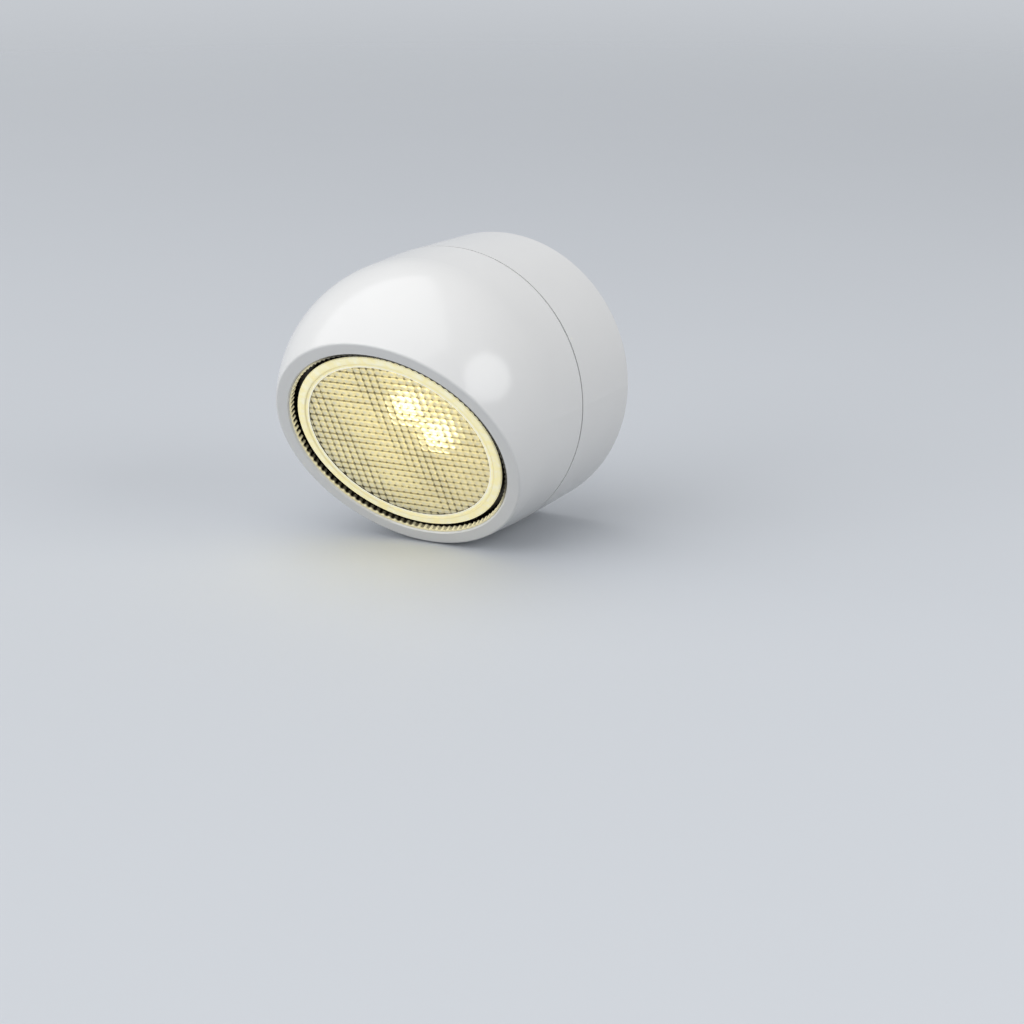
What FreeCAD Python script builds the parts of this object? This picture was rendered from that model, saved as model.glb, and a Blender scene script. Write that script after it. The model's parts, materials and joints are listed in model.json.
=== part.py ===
import FreeCAD, Part
import math
import os
import re
import Sketcher
from FreeCAD import Placement, Rotation, Vector

# Plug in night light, in millimetres
#
# The light stands out from a wall at y = 0 towards -Y, with +Z up. The origin is the middle of the flat back
# face, on the axis that the head turns about. Two frames of work are used. Pieces round the swivel axis are
# drawn with their own z as the distance in front of the wall. Pieces round the lens axis are drawn with
# their own z as the distance from the ball's centre, along an axis that points down by the lens tilt.


# Driving sizes, in millimetres, degrees and counts
SIZES = {
    # Outside shape
    "base_depth": 15.4,  # wall to the front edge of the base
    "seam_gap": 0.3,  # gap between the base and the turning head
    "front_radius": 20.5,  # radius of the head's ball
    "drum_length": 7.8,  # back edge of the head to the centre of the ball
    "back_inset": 0.1,  # ball's radius down to the base's radius at the wall
    "draft": 1.7,  # slope of the head's drum, in degrees
    "lens_tilt": 30,  # how far the lens looks down, in degrees
    "rim_height": 8.9,  # ball centre to the rim's plane, along the lens axis
    "rim_round": 0.35,  # rounding of the rim's outer edge
    "mouth_chamfer": 0.2,  # chamfer inside the rim
    "back_round": 0.5,  # rounding of the base's back edge
    # Walls of the two shells
    "back_wall": 2.0,  # thickness of the base's back wall
    "base_wall": 1.6,  # side wall of the base at the wall
    "seat_width": 0.6,  # width of the step that carries the swivel plate
    "plate_recess": 0.8,  # base front edge down to the swivel plate's face
    "shell_wall": 1.8,  # wall of the head shell
    "head_lip": 1.46,  # wall of the head shell outside its plate
    "fit": 0.05,  # clearance round a piece that is pressed into a seat
    # Plug
    "blade_pitch": 12.7,  # distance between the blades
    "blade_thickness": 1.5,  # thickness of a blade
    "line_width": 6.35,  # width of the narrow blade
    "neutral_width": 7.94,  # width of the wide blade
    "blade_length": 16.5,  # how far the blades stand out of the back
    "blade_taper": 1.0,  # corner taken off a blade's tip
    "blade_bevel": 0.4,  # bevel on the faces of a blade's tip
    "blade_hole": 1.55,  # radius of the hole in a blade
    "blade_hole_back": 4.6,  # blade tip to the centre of its hole
    "slot_gap": 0.1,  # clearance of a blade in its slot
    "shoulder_width": 1.1,  # how far a blade's shoulder stands out each side
    "shoulder_height": 1.2,  # height of a blade's shoulder
    "tail_width": 3.0,  # width of a blade's inner tail
    "tail_reach": 3.6,  # how far a tail stands out of the driver board
    "clamp_length": 22.0,  # length of the blade clamp
    "clamp_width": 13.0,  # width of the blade clamp
    "clamp_height": 2.6,  # height of the blade clamp
    # Driver board and what stands on it
    "board_gap": 0.4,  # clearance of the driver board inside the bosses
    "board_thickness": 1.2,  # thickness of both circuit boards
    "terminal_wall": 0.5,  # wall of a fork terminal
    "terminal_width": 3.8,  # width of a fork terminal
    "terminal_height": 3.9,  # height of a fork terminal
    "terminal_base": 0.9,  # height of a fork terminal's closed base
    "terminal_gap": 0.04,  # clearance of a blade's tail in its terminal
    "film_length": 13.0,  # length of the film capacitor
    "film_width": 9.8,  # width of the film capacitor
    "film_gap": 0.85,  # clearance of both capacitors below the swivel plate
    "film_place": 7.4,  # swivel axis up to the film capacitor's middle
    "film_round": 0.4,  # rounding of the film capacitor's edges
    "can_length": 11.0,  # length of the smoothing capacitor
    "can_place": 5.5,  # swivel axis down to the smoothing capacitor
    "can_round": 0.3,  # rounding of the smoothing capacitor's ends
    "bridge_length": 4.7,  # length of the bridge rectifier
    "bridge_width": 3.6,  # width of the bridge rectifier
    "bridge_height": 2.3,  # height of the bridge rectifier
    "bridge_place": 10.4,  # swivel axis down to the bridge rectifier
    "bridge_legs": 2.5,  # distance between the legs on one side of the bridge
    "leg_width": 0.6,  # width of a rectifier's leg
    "leg_thickness": 0.2,  # thickness of a rectifier's leg
    "leg_reach": 1.0,  # how far a rectifier's leg stands out
    "resistor_radius": 1.15,  # radius of the two wired resistors
    "resistor_length": 6.3,  # length of the two wired resistors
    "resistor_place": 10.5,  # swivel axis out to the wired resistors
    "resistor_lead": 0.3,  # radius of a resistor's leads
    "lead_reach": 1.1,  # how far a resistor's lead runs out before it turns down
    # Swivel plate, pivot and contact rings
    "plate_thickness": 2.2,  # thickness of the swivel plate
    "boss_inset": 2.9,  # inside of the base to the middle of a cover screw
    "boss_radius": 2.1,  # radius of the bosses for the cover screws
    "cover_count": 3,  # number of cover screws, hooks and stakes
    "screw_radius": 1.1,  # radius of a cover screw's shank
    "screw_gap": 0.05,  # clearance of a screw's shank in its hole
    "screw_length": 7.0,  # length of a cover screw's shank
    "screw_head": 1.9,  # radius of a cover screw's head
    "screw_head_height": 1.2,  # height of a cover screw's head
    "sink_gap": 0.15,  # clearance round and above a sunk screw head
    "post_radius": 1.3,  # radius of the posts that press on the driver board
    "post_across": 9.5,  # swivel axis to a post, sideways
    "post_up": 7.5,  # swivel axis to a post, up or down
    "hub_radius": 4.0,  # radius of the pivot hub
    "pivot_gap": 0.05,  # running clearance of the head plate on the hub
    "ring_thickness": 0.4,  # thickness of a contact ring
    "ring_sunk": 0.2,  # how deep a contact ring lies in the swivel plate
    "ring_width": 2.2,  # width of a contact ring
    "inner_track": 7.7,  # mean radius of the inner contact ring
    "outer_track": 11.5,  # mean radius of the outer contact ring
    "tab_width": 1.0,  # width of a contact ring's tab
    "tab_thickness": 0.4,  # thickness of a contact ring's tab
    "tab_gap": 0.1,  # clearance of a tab in its slot
    "inner_tab_angle": 25,  # angle of the inner ring's tab, in degrees
    "outer_tab_angle": -50,  # angle of the outer ring's tab, in degrees
    # Head plate
    "head_thickness": 2.0,  # thickness of the head plate
    "sleeve_radius": 6.0,  # outside radius of the head plate's sleeve
    "sleeve_height": 1.3,  # height of the head plate's sleeve
    "skirt_gap": 0.4,  # clearance of the head plate's skirt inside the base
    "skirt_wall": 1.0,  # wall of that skirt
    "skirt_depth": 0.7,  # how far the skirt laps back
    "hook_width": 4.0,  # width of a snap hook
    "hook_wall": 1.1,  # thickness of a snap hook
    "hook_height": 3.9,  # height of a snap hook
    "hook_gap": 0.25,  # clearance of the snap hooks inside the head shell
    "barb_reach": 0.55,  # how far a hook's barb stands out
    "barb_height": 1.0,  # height of a hook's barb
    "barb_gap": 0.2,  # clearance round a barb in its pocket
    "spring_height": 0.7,  # height of the dished spring washer
    "spring_thickness": 0.25,  # thickness of the dished spring washer
    "spring_gap": 0.04,  # running clearance between spring washer and sleeve
    "washer_radius": 5.9,  # radius of the pivot washer
    "washer_thickness": 0.8,  # thickness of the pivot washer
    "pivot_radius": 1.3,  # radius of the pivot screw's shank
    "pivot_head": 2.6,  # radius of the pivot screw's head
    "pivot_head_height": 1.7,  # height of the pivot screw's head
    "pivot_length": 6.8,  # length of the pivot screw's shank
    # Spring contacts, rivets and leads
    "finger_width": 1.6,  # width of a spring contact
    "finger_thickness": 0.3,  # thickness of a spring contact
    "finger_start": 5.6,  # swivel axis to the bend of a spring contact, sideways
    "finger_end": 11.0,  # swivel axis to the fixed end of a spring contact
    "finger_tip": 1.8,  # how far a contact's tip runs past its ring
    "finger_lift": 0.95,  # how far a contact's tip turns up
    "contact_gap": 0.03,  # running clearance between a contact and its ring
    "window_gap": 0.4,  # clearance of a spring contact in its window
    "rivet_place": 8.3,  # swivel axis to a rivet, sideways
    "rivet_radius": 0.55,  # radius of a rivet's shank
    "rivet_head": 1.0,  # radius of a rivet's head
    "rivet_head_height": 0.5,  # height of a rivet's head
    "rivet_depth": 1.4,  # depth of a rivet in the head plate
    "wire_radius": 0.5,  # radius of a lead
    "wire_bend": 1.6,  # bend radius of a lead
    "wire_inset": 0.2,  # edge of a spring contact to a lead's side
    "pad_inset": 2.4,  # edge of the LED board to a lead's pad, sideways
    "pad_up": 3.2,  # lens axis to a lead's pad, up or down
    "run_in": 2.6,  # length of a lead's last run, square to the LED board
    "inner_rise": 3.6,  # height of the inner lead's first run
    "outer_rise": 1.8,  # height of the outer lead's first run
    "outer_turn_across": 9.6,  # swivel axis to the outer lead's turn, sideways
    "outer_turn_down": 4.6,  # swivel axis to the outer lead's turn, down
    # Lens, its ring, the reflector and the LED board, along the lens axis
    "mouth_depth": 3.0,  # rim's plane down to the lens ledge
    "ledge_thickness": 1.2,  # thickness of the lens ledge
    "ledge_width": 2.1,  # width of the lens ledge
    "rim_width": 1.97,  # width of the flat rim round the mouth
    "lens_gap": 1.0,  # mouth's radius down to the lens's radius
    "lens_sunk": 0.6,  # rim's plane down to the lens face
    "lens_thickness": 1.3,  # thickness of the lens window
    "lens_wall": 1.2,  # wall of the lens skirt
    "lens_round": 0.3,  # rounding of the lens edge
    "flange_gap": 0.15,  # clearance of the lens flange in the mouth
    "flange_height": 0.8,  # height of the lens flange
    "ring_wall": 0.4,  # wall of the lens ring
    "ring_sink": 0.15,  # rim's plane down to the lens ring
    "cup_gap": 0.8,  # clearance of the reflector's flange inside the head shell
    "cup_depth": 3.1,  # lens ledge down to the face of the LED board
    "cup_flange_height": 1.1,  # height of the reflector's flange
    "cup_step": 0.1,  # lens ledge's radius down to the reflector's mouth
    "floor_step": 0.4,  # LED board's radius down to the reflector's floor
    "cup_floor_thickness": 0.8,  # thickness of the reflector's floor
    "tube_wall": 1.15,  # wall of the tube behind the reflector
    "cup_tube_depth": 1.6,  # depth of that tube
    "led_board_radius": 9.4,  # radius of the LED board
    "led_width": 3.5,  # width of an LED
    "led_height": 1.9,  # height of an LED
    "led_across": 1.85,  # middle of the pair to an LED, sideways
    "led_up": 2.2,  # middle of the pair to an LED, up or down
    "pair_across": 1.1,  # lens axis to the middle of the pair, sideways
    "pair_down": 0.5,  # lens axis to the middle of the pair, down
    "led_gap": 0.1,  # clearance of an LED in its window
    "stake_inset": 1.3,  # edge of the reflector's flange to the middle of a stake
    "stake_radius": 0.75,  # radius of a stake
    "stake_gap": 0.05,  # clearance of a stake in its hole
    "stake_length": 1.5,  # length of a stake
    "led_screw_inset": 2.1,  # edge of the LED board to the middle of a screw
    "led_screw_radius": 0.7,  # radius of a LED board screw's shank
    "led_screw_head": 1.4,  # radius of a LED board screw's head
    "led_screw_length": 3.0,  # length of a LED board screw's shank
    "pillar_radius": 1.5,  # radius of the pillars that the LED screws go into
    "pillar_height": 1.4,  # height of those pillars above the reflector's floor
    "chip_length": 3.2,  # length of the chip resistor
    "chip_width": 1.6,  # width of the chip resistor
    "chip_height": 0.6,  # height of the chip resistor
    "chip_place": 5.0,  # lens axis to the chip resistor
}

doc = FreeCAD.newDocument("NightLight")
sheet = doc.addObject("Spreadsheet::Sheet", "Sizes")
for row, (alias, number) in enumerate(SIZES.items(), 1):
    sheet.set("A%d" % row, alias.replace("_", " "))
    sheet.set("B%d" % row, str(number))
    sheet.setAlias("B%d" % row, alias)
doc.recompute()


# Places that follow from the sizes
PLACES = {
    # Along the swivel axis, from the wall
    "plate_face": "base_depth - plate_recess",
    "plate_back": "plate_face - plate_thickness",
    "board_back": "back_wall + clamp_height",
    "board_face": "board_back + board_thickness",
    "head_back": "base_depth + seam_gap",
    "head_face": "head_back + head_thickness",
    "sleeve_top": "head_face + sleeve_height",
    "hub_top": "sleeve_top + spring_height",
    "ring_top": "plate_face - ring_sunk + ring_thickness",
    "ball_depth": "head_back + drum_length",
    "film_height": "plate_back - board_face - film_gap",
    "can_radius": "(plate_back - board_face - film_gap) / 2",
    # Out from the swivel axis
    "back_radius": "front_radius - back_inset",
    "seam_radius": "front_radius / cos(draft) + tan(draft) * drum_length",
    "base_bore": "back_radius - base_wall",
    "plate_radius": "base_bore + seat_width - fit",
    "boss_place": "base_bore - boss_inset",
    "board_radius": "boss_place - boss_radius - board_gap",
    "head_seat": "seam_radius - head_lip",
    "skirt_radius": "base_bore + seat_width - skirt_gap",
    "hook_radius": "front_radius - shell_wall - hook_gap",
    # Along the lens axis, from the ball's centre
    "ledge_top": "rim_height - mouth_depth",
    "ledge_height": "ledge_top - ledge_thickness",
    "lens_face": "rim_height - lens_sunk",
    "led_board_face": "ledge_height - cup_depth",
    "led_board_height": "led_board_face - board_thickness",
    "floor_top": "led_board_face + cup_floor_thickness",
    # Out from the lens axis
    "mouth_radius": "sqrt(front_radius ^ 2 - rim_height ^ 2) - rim_width",
    "lens_radius": "mouth_radius - lens_gap",
    "flange_radius": "mouth_radius - flange_gap",
    "ring_bore": "mouth_radius - fit - ring_wall",
    "ledge_radius": "mouth_radius - ledge_width",
    "cup_mouth": "ledge_radius - cup_step",
    "cup_flange": "sqrt((front_radius - shell_wall) ^ 2 - ledge_height ^ 2) - cup_gap",
    "cup_tube": "led_board_radius + fit + tube_wall",
    "cup_floor": "led_board_radius - floor_step",
    "stake_place": "cup_flange - stake_inset",
    "led_screw_place": "led_board_radius - led_screw_inset",
    "pad_across": "led_board_radius - pad_inset",
}
places = doc.addObject("App::VarSet", "Places")


def formula(text):
    """Turns the names of sizes and places in a formula into the document's own references."""
    def reference(word):
        if word[0] in SIZES:
            return "Sizes." + word[0]
        return "Places." + word[0] if word[0] in PLACES else word[0]
    return re.sub(r"[a-z][a-z_]*", reference, text)


for alias in PLACES:
    places.addProperty("App::PropertyFloat", alias)
for alias, text in PLACES.items():
    places.setExpression(alias, formula(text))
doc.recompute()


def value(alias):
    """Reads one size or place as a number."""
    return float(sheet.get(alias)) if alias in SIZES else getattr(places, alias)


def bind(thing, name, text):
    """Ties one property of an object to a formula."""
    thing.setExpression(name, formula(text))


# Primitives whose sizes are formulas
def block(name, length, width, height, middle=("0", "0"), foot="0"):
    """A box round middle that stands on foot."""
    box = doc.addObject("Part::Box", name)
    bind(box, "Length", length)
    bind(box, "Width", width)
    bind(box, "Height", height)
    bind(box, "Placement.Base.x", "%s - (%s) / 2" % (middle[0], length))
    bind(box, "Placement.Base.y", "%s - (%s) / 2" % (middle[1], width))
    bind(box, "Placement.Base.z", foot)
    return box


def rod(name, radius, height, middle=("0", "0"), foot="0", turn=None):
    """A cylinder that stands on foot, or lies along the way that turn points its axis."""
    cylinder = doc.addObject("Part::Cylinder", name)
    bind(cylinder, "Radius", radius)
    bind(cylinder, "Height", height)
    if turn:
        cylinder.Placement.Rotation = turn
    bind(cylinder, "Placement.Base.x", middle[0])
    bind(cylinder, "Placement.Base.y", middle[1])
    bind(cylinder, "Placement.Base.z", foot)
    return cylinder


ALONG_X = Rotation(Vector(0, 1, 0), 90)
ALONG_Y = Rotation(Vector(1, 0, 0), -90)


def joined(name, pieces):
    """One solid from pieces that meet."""
    fuse = doc.addObject("Part::MultiFuse", name)
    fuse.Shapes = pieces
    fuse.Refine = True
    return fuse


def without(name, piece, tools):
    """A piece with tools taken out of it."""
    cut = doc.addObject("Part::Cut", name)
    cut.Base = piece
    cut.Tool = tools[0] if len(tools) == 1 else joined(name + "_tools", tools)
    return cut


# Sketches whose corners are formulas
def hold(sketch, item, point, place):
    """Holds one point of a sketch at a place that two formulas give."""
    for kind, text in zip(("DistanceX", "DistanceY"), place):
        index = sketch.addConstraint(Sketcher.Constraint(kind, -1, 1, item, point, 1.0))
        sketch.setExpression("Constraints[%d]" % index, formula(text))


def draw_outline(sketch, corners):
    """Draws a closed outline of straight lines through corners."""
    first = sketch.GeometryCount
    count = len(corners)
    for step in range(count):
        start = math.radians(360 * step / count)
        end = math.radians(360 * (step + 1) / count)
        ends = [Vector(9 * math.cos(angle), 9 * math.sin(angle), 0) for angle in (start, end)]
        sketch.addGeometry(Part.LineSegment(*ends))
    for step, corner in enumerate(corners):
        sketch.addConstraint(
            Sketcher.Constraint("Coincident", first + step, 2, first + (step + 1) % count, 1))
        hold(sketch, first + step, 1, corner)


def draw_circle(sketch, radius, place):
    """Draws a circle round place."""
    item = sketch.addGeometry(Part.Circle(Vector(1, 1, 0), Vector(0, 0, 1), 2))
    index = sketch.addConstraint(Sketcher.Constraint("Radius", item, 2))
    sketch.setExpression("Constraints[%d]" % index, formula(radius))
    hold(sketch, item, 3, place)


def draw_box(sketch, length, width, middle):
    """Draws a rectangle round middle."""
    left = "%s - (%s) / 2" % (middle[0], length)
    right = "%s + (%s) / 2" % (middle[0], length)
    low = "%s - (%s) / 2" % (middle[1], width)
    high = "%s + (%s) / 2" % (middle[1], width)
    draw_outline(sketch, [(left, low), (right, low), (right, high), (left, high)])


def turned(name, corners):
    """A solid of revolution round z, from an outline of radii and heights."""
    sketch = doc.addObject("Sketcher::SketchObject", name + "_outline")
    sketch.Placement = Placement(Vector(0, 0, 0), Rotation(Vector(1, 0, 0), 90))
    draw_outline(sketch, corners)
    spun = doc.addObject("Part::Revolution", name)
    spun.Source = sketch
    spun.Axis = Vector(0, 0, 1)
    spun.Angle = 360
    spun.Solid = True
    return spun


# Bodies
def origin_part(body, role):
    """One of a body's own origin planes or axes."""
    return next(item for item in body.Origin.OriginFeatures if item.Role == role)


def body_sketch(body, name, role, lift="0"):
    """A sketch on one of a body's origin planes, lifted off it by a formula."""
    sketch = body.newObject("Sketcher::SketchObject", name)
    sketch.AttachmentSupport = [(origin_part(body, role), "")]
    sketch.MapMode = "FlatFace"
    bind(sketch, "AttachmentOffset.Base.z", lift)
    return sketch


def turned_body(label, corners):
    """A body that starts as a solid of revolution round its own z."""
    body = doc.addObject("PartDesign::Body", label)
    sketch = body_sketch(body, label + "_outline", "XZ_Plane")
    draw_outline(sketch, corners)
    spun = body.newObject("PartDesign::Revolution", label + "_turned")
    spun.Profile = sketch
    spun.ReferenceAxis = (sketch, ["V_Axis"])
    spun.Angle = 360
    sketch.Visibility = False
    return body


def pad(body, name, sketch, length, both_ways=False):
    """Adds a sketch's shape to a body, upwards or to both sides of the sketch."""
    feature = body.newObject("PartDesign::Pad", name)
    feature.Profile = sketch
    bind(feature, "Length", length)
    feature.Midplane = both_ways
    return feature


def pocket(body, name, sketch, length):
    """Cuts a sketch's shape downwards out of a body."""
    feature = body.newObject("PartDesign::Pocket", name)
    feature.Profile = sketch
    bind(feature, "Length", length)
    return feature


def round_the_axis(body, name, features):
    """Repeats features round the body's z, once for each cover screw."""
    pattern = body.newObject("PartDesign::PolarPattern", name)
    pattern.Originals = features
    pattern.Axis = (origin_part(body, "Z_Axis"), [""])
    pattern.Angle = 360
    bind(pattern, "Occurrences", "cover_count")
    body.Tip = pattern
    return pattern


def soften(body, name, kind, length, chosen):
    """Rounds or bevels the edges of a body that chosen picks."""
    doc.recompute()
    base = body.Tip
    edges = ["Edge%d" % (i + 1) for i, edge in enumerate(base.Shape.Edges) if chosen(edge)]
    feature = body.newObject(kind, name)
    feature.Base = (base, edges)
    bind(feature, "Radius" if kind.endswith("Fillet") else "Size", length)
    return feature


def is_circle(edge, radius, height):
    """True for a circular edge of this radius that lies at this height."""
    if not isinstance(edge.Curve, Part.Circle):
        return False
    return abs(edge.Curve.Radius - radius) < 0.01 and abs(edge.Curve.Center.z - height) < 0.01


# Where the pieces stand
def stand_on_swivel(thing):
    """Turns a piece from its own z to the swivel axis, out of the wall."""
    thing.Placement.Rotation = Rotation(Vector(1, 0, 0), 90)


def stand_on_lens_axis(thing):
    """Turns a piece from its own z to the lens axis, from the ball's centre."""
    thing.Placement.Rotation = Rotation(Vector(1, 0, 0), 90)
    bind(thing, "Placement.Rotation.Angle", "90 + lens_tilt")
    bind(thing, "Placement.Base.y", "-ball_depth")


def lean_to_lens_axis(thing):
    """Leans a tool that is drawn on the lens axis for a piece on the swivel axis."""
    thing.Placement.Rotation = Rotation(Vector(1, 0, 0), 30)
    bind(thing, "Placement.Rotation.Angle", "lens_tilt")
    bind(thing, "Placement.Base.z", "ball_depth")


NODES = []


def keep(thing, node, stand):
    """Names a finished piece and stands it in place."""
    thing.Label = node
    stand(thing)
    NODES.append(thing)
    return thing


# Both blades have the same outline but for their width and side
BLADES = {"line": ("line_width", "blade_pitch / 2"), "neutral": ("neutral_width", "-blade_pitch / 2")}


# Base
def make_base_housing():
    """The cup against the wall, with slots for the blades and bosses for the cover screws."""
    step = "base_depth - plate_recess - plate_thickness"
    lip = "base_bore + seat_width"
    corners = [("0", "0"), ("back_radius", "0"), ("seam_radius", "base_depth"), (lip, "base_depth"),
               (lip, step), ("base_bore", step), ("base_bore", "back_wall"), ("0", "back_wall")]
    body = turned_body("base_housing", corners)
    radius = value("back_radius")
    soften(body, "back_edge", "PartDesign::Fillet", "back_round", lambda e: is_circle(e, radius, 0))
    boss = body_sketch(body, "boss_outline", "XY_Plane", "back_wall")
    draw_circle(boss, "boss_radius", ("0", "boss_place"))
    boss_pad = pad(body, "boss", boss, "plate_back - back_wall")
    hole = body_sketch(body, "boss_hole_outline", "XY_Plane", "plate_back")
    draw_circle(hole, "screw_radius + screw_gap", ("0", "boss_place"))
    depth = "screw_length - plate_thickness + screw_head_height + sink_gap + 0.5"
    boss_hole = pocket(body, "boss_hole", hole, depth)
    round_the_axis(body, "bosses", [boss_pad, boss_hole])
    slots = body_sketch(body, "slot_outline", "XY_Plane", "back_wall")
    for width, across in BLADES.values():
        draw_box(slots, "blade_thickness + 2 * slot_gap", width + " + 2 * slot_gap", (across, "0"))
    pocket(body, "blade_slots", slots, "back_wall")
    keep(body, "base_housing", stand_on_swivel)


def make_blade(name):
    """A plug blade with a bevelled tip, a shoulder behind the back wall and a tail for its terminal."""
    width, across = BLADES[name]
    half = width + " / 2"
    tip = "-blade_length"
    taper = "blade_taper - blade_length"
    shoulder_top = "back_wall + shoulder_height"
    tail_top = "board_face + tail_reach"
    right = [(half + " - blade_taper", tip), (half, taper), (half, "back_wall"),
             (half + " + shoulder_width", "back_wall"), (half + " + shoulder_width", shoulder_top),
             ("tail_width / 2", shoulder_top), ("tail_width / 2", tail_top)]
    left = [("-(%s)" % x, z) for x, z in reversed(right)]
    node = name + "_blade"
    body = doc.addObject("PartDesign::Body", node)
    outline = body_sketch(body, node + "_outline", "YZ_Plane")
    draw_outline(outline, right + left)
    pad(body, node + "_strip", outline, "blade_thickness", both_ways=True)
    end = -value("blade_length")
    soften(body, node + "_bevel", "PartDesign::Chamfer", "blade_bevel",
           lambda e: all(abs(v.Z - end) < 0.01 for v in e.Vertexes) and e.Length > value("blade_thickness"))
    hole = body_sketch(body, node + "_hole_outline", "YZ_Plane", "blade_thickness")
    draw_circle(hole, "blade_hole", ("0", "blade_hole_back - blade_length"))
    pocket(body, node + "_hole", hole, "2 * blade_thickness")
    bind(body, "Placement.Base.x", across)
    keep(body, node, stand_on_swivel)


def make_blade_clamp():
    """The block that presses the blades' shoulders on the back wall."""
    block_piece = block("clamp_block", "clamp_length", "clamp_width", "clamp_height", foot="back_wall")
    tools = []
    for name, (width, across) in BLADES.items():
        shoulder = width + " + 2 * shoulder_width + 2 * slot_gap"
        tools.append(block(name + "_seat", "blade_thickness + 2 * slot_gap", shoulder,
                           "shoulder_height", (across, "0"), "back_wall"))
        tools.append(block(name + "_way", "blade_thickness + 2 * slot_gap", "tail_width + 2 * slot_gap",
                           "clamp_height", (across, "0"), "back_wall"))
    keep(without("clamp", block_piece, tools), "blade_clamp", stand_on_swivel)


TABS = {"inner": ("inner_track", "inner_tab_angle"), "outer": ("outer_track", "outer_tab_angle")}


def tab(name, ring, gap, low, high):
    """A contact ring's tab, or with a gap the slot for it, between two heights."""
    track, angle = TABS[ring]
    box = block(name, "tab_thickness + 2 * " + gap, "tab_width + 2 * " + gap, "(%s) - (%s)" % (high, low))
    box.Placement.Rotation = Rotation(Vector(0, 0, 1), 1)
    inward = "(%s - tab_thickness / 2 - %s)" % (track, gap)
    side = "(tab_width / 2 + %s)" % gap
    bind(box, "Placement.Rotation.Angle", angle)
    bind(box, "Placement.Base.x", "%s * cos(%s) + %s * sin(%s)" % (inward, angle, side, angle))
    bind(box, "Placement.Base.y", "%s * sin(%s) - %s * cos(%s)" % (inward, angle, side, angle))
    bind(box, "Placement.Base.z", low)
    return box


def make_driver_board():
    """The round board, with slots for the blades' tails and the rings' tabs."""
    disc = rod("driver_disc", "board_radius", "board_thickness", foot="board_back")
    tools = []
    for name, (width, across) in BLADES.items():
        tools.append(block(name + "_board_slot", "blade_thickness + 2 * slot_gap",
                           "tail_width + 2 * slot_gap", "board_thickness", (across, "0"), "board_back"))
    for ring in TABS:
        tools.append(tab(ring + "_board_slot", ring, "tab_gap", "board_back", "board_face"))
    keep(without("driver", disc, tools), "driver_board", stand_on_swivel)


def make_terminal(name):
    """A fork terminal that stands on the board and grips a blade's tail."""
    across = BLADES[name][1]
    gap = "blade_thickness + 2 * terminal_gap"
    outside = block(name + "_fork", gap + " + 2 * terminal_wall", "terminal_width + 0.4",
                    "terminal_height", (across, "0"), "board_face")
    way = block(name + "_fork_way", gap, "tail_width + 2 * terminal_gap", "terminal_height",
                (across, "0"), "board_face")
    mouth = block(name + "_fork_mouth", gap, "2 * terminal_width", "terminal_height - terminal_base",
                  (across, "0"), "board_face + terminal_base")
    keep(without(name + "_fork_cut", outside, [way, mouth]), name + "_terminal", stand_on_swivel)


def rounded(name, piece, radius, chosen):
    """A piece with the edges that chosen picks rounded."""
    doc.recompute()
    fillet = doc.addObject("Part::Fillet", name)
    fillet.Base = piece
    limit = value(radius)
    fillet.Edges = [(i + 1, limit, limit) for i, edge in enumerate(piece.Shape.Edges) if chosen(edge)]
    return fillet


def make_capacitors():
    """The boxed film capacitor and the smoothing can, both on the driver board."""
    box = block("film_box", "film_length", "film_width", "film_height", ("0", "film_place"), "board_face")
    foot = value("back_wall") + value("clamp_height") + value("board_thickness")
    softened = rounded("film_softened", box, "film_round",
                       lambda e: any(v.Z > foot + 0.1 for v in e.Vertexes))
    keep(softened, "film_capacitor", stand_on_swivel)
    can = rod("can", "can_radius", "can_length", ("-can_length / 2", "-can_place"),
              "board_face + can_radius", ALONG_X)
    keep(rounded("can_softened", can, "can_round", lambda e: isinstance(e.Curve, Part.Circle)),
         "smoothing_capacitor", stand_on_swivel)


def make_bridge_rectifier():
    """A flat rectifier with two legs on each side."""
    standoff = "leg_thickness"
    pieces = [block("bridge_box", "bridge_length", "bridge_width", "bridge_height - " + standoff,
                    ("0", "-bridge_place"), "board_face + " + standoff)]
    for side in ("-", ""):
        for row in ("-", ""):
            place = ("%sbridge_legs / 2" % side, "-bridge_place %s (bridge_width / 2 + leg_reach / 2)"
                     % (row or "+"))
            pieces.append(block("bridge_foot", "leg_width", "leg_reach", "leg_thickness", place, "board_face"))
            shin = ("%sbridge_legs / 2" % side, "-bridge_place %s (bridge_width / 2 + leg_thickness / 2)"
                    % (row or "+"))
            pieces.append(block("bridge_shin", "leg_width", "leg_thickness", "bridge_height / 2", shin,
                                "board_face"))
    keep(joined("bridge", pieces), "bridge_rectifier", stand_on_swivel)


def make_resistor(node, side):
    """A wired resistor that lies on the board beside a blade's terminal."""
    across = side + "resistor_place"
    height = "board_face + resistor_radius"
    reach = "resistor_length / 2 + lead_reach"
    barrel = rod(node + "_barrel", "resistor_radius", "resistor_length", (across, "-resistor_length / 2"),
                 height, ALONG_Y)
    core = rod(node + "_lead", "resistor_lead", "2 * (%s)" % reach, (across, "-(%s)" % reach), height,
               ALONG_Y)
    pieces = [barrel, core]
    for way in ("", "-"):
        end = "%s(%s - resistor_lead)" % (way, reach)
        pieces.append(rod(node + "_leg", "0.85 * resistor_lead", "resistor_radius", (across, end), "board_face"))
    keep(joined(node + "_whole", pieces), node, stand_on_swivel)


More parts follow.
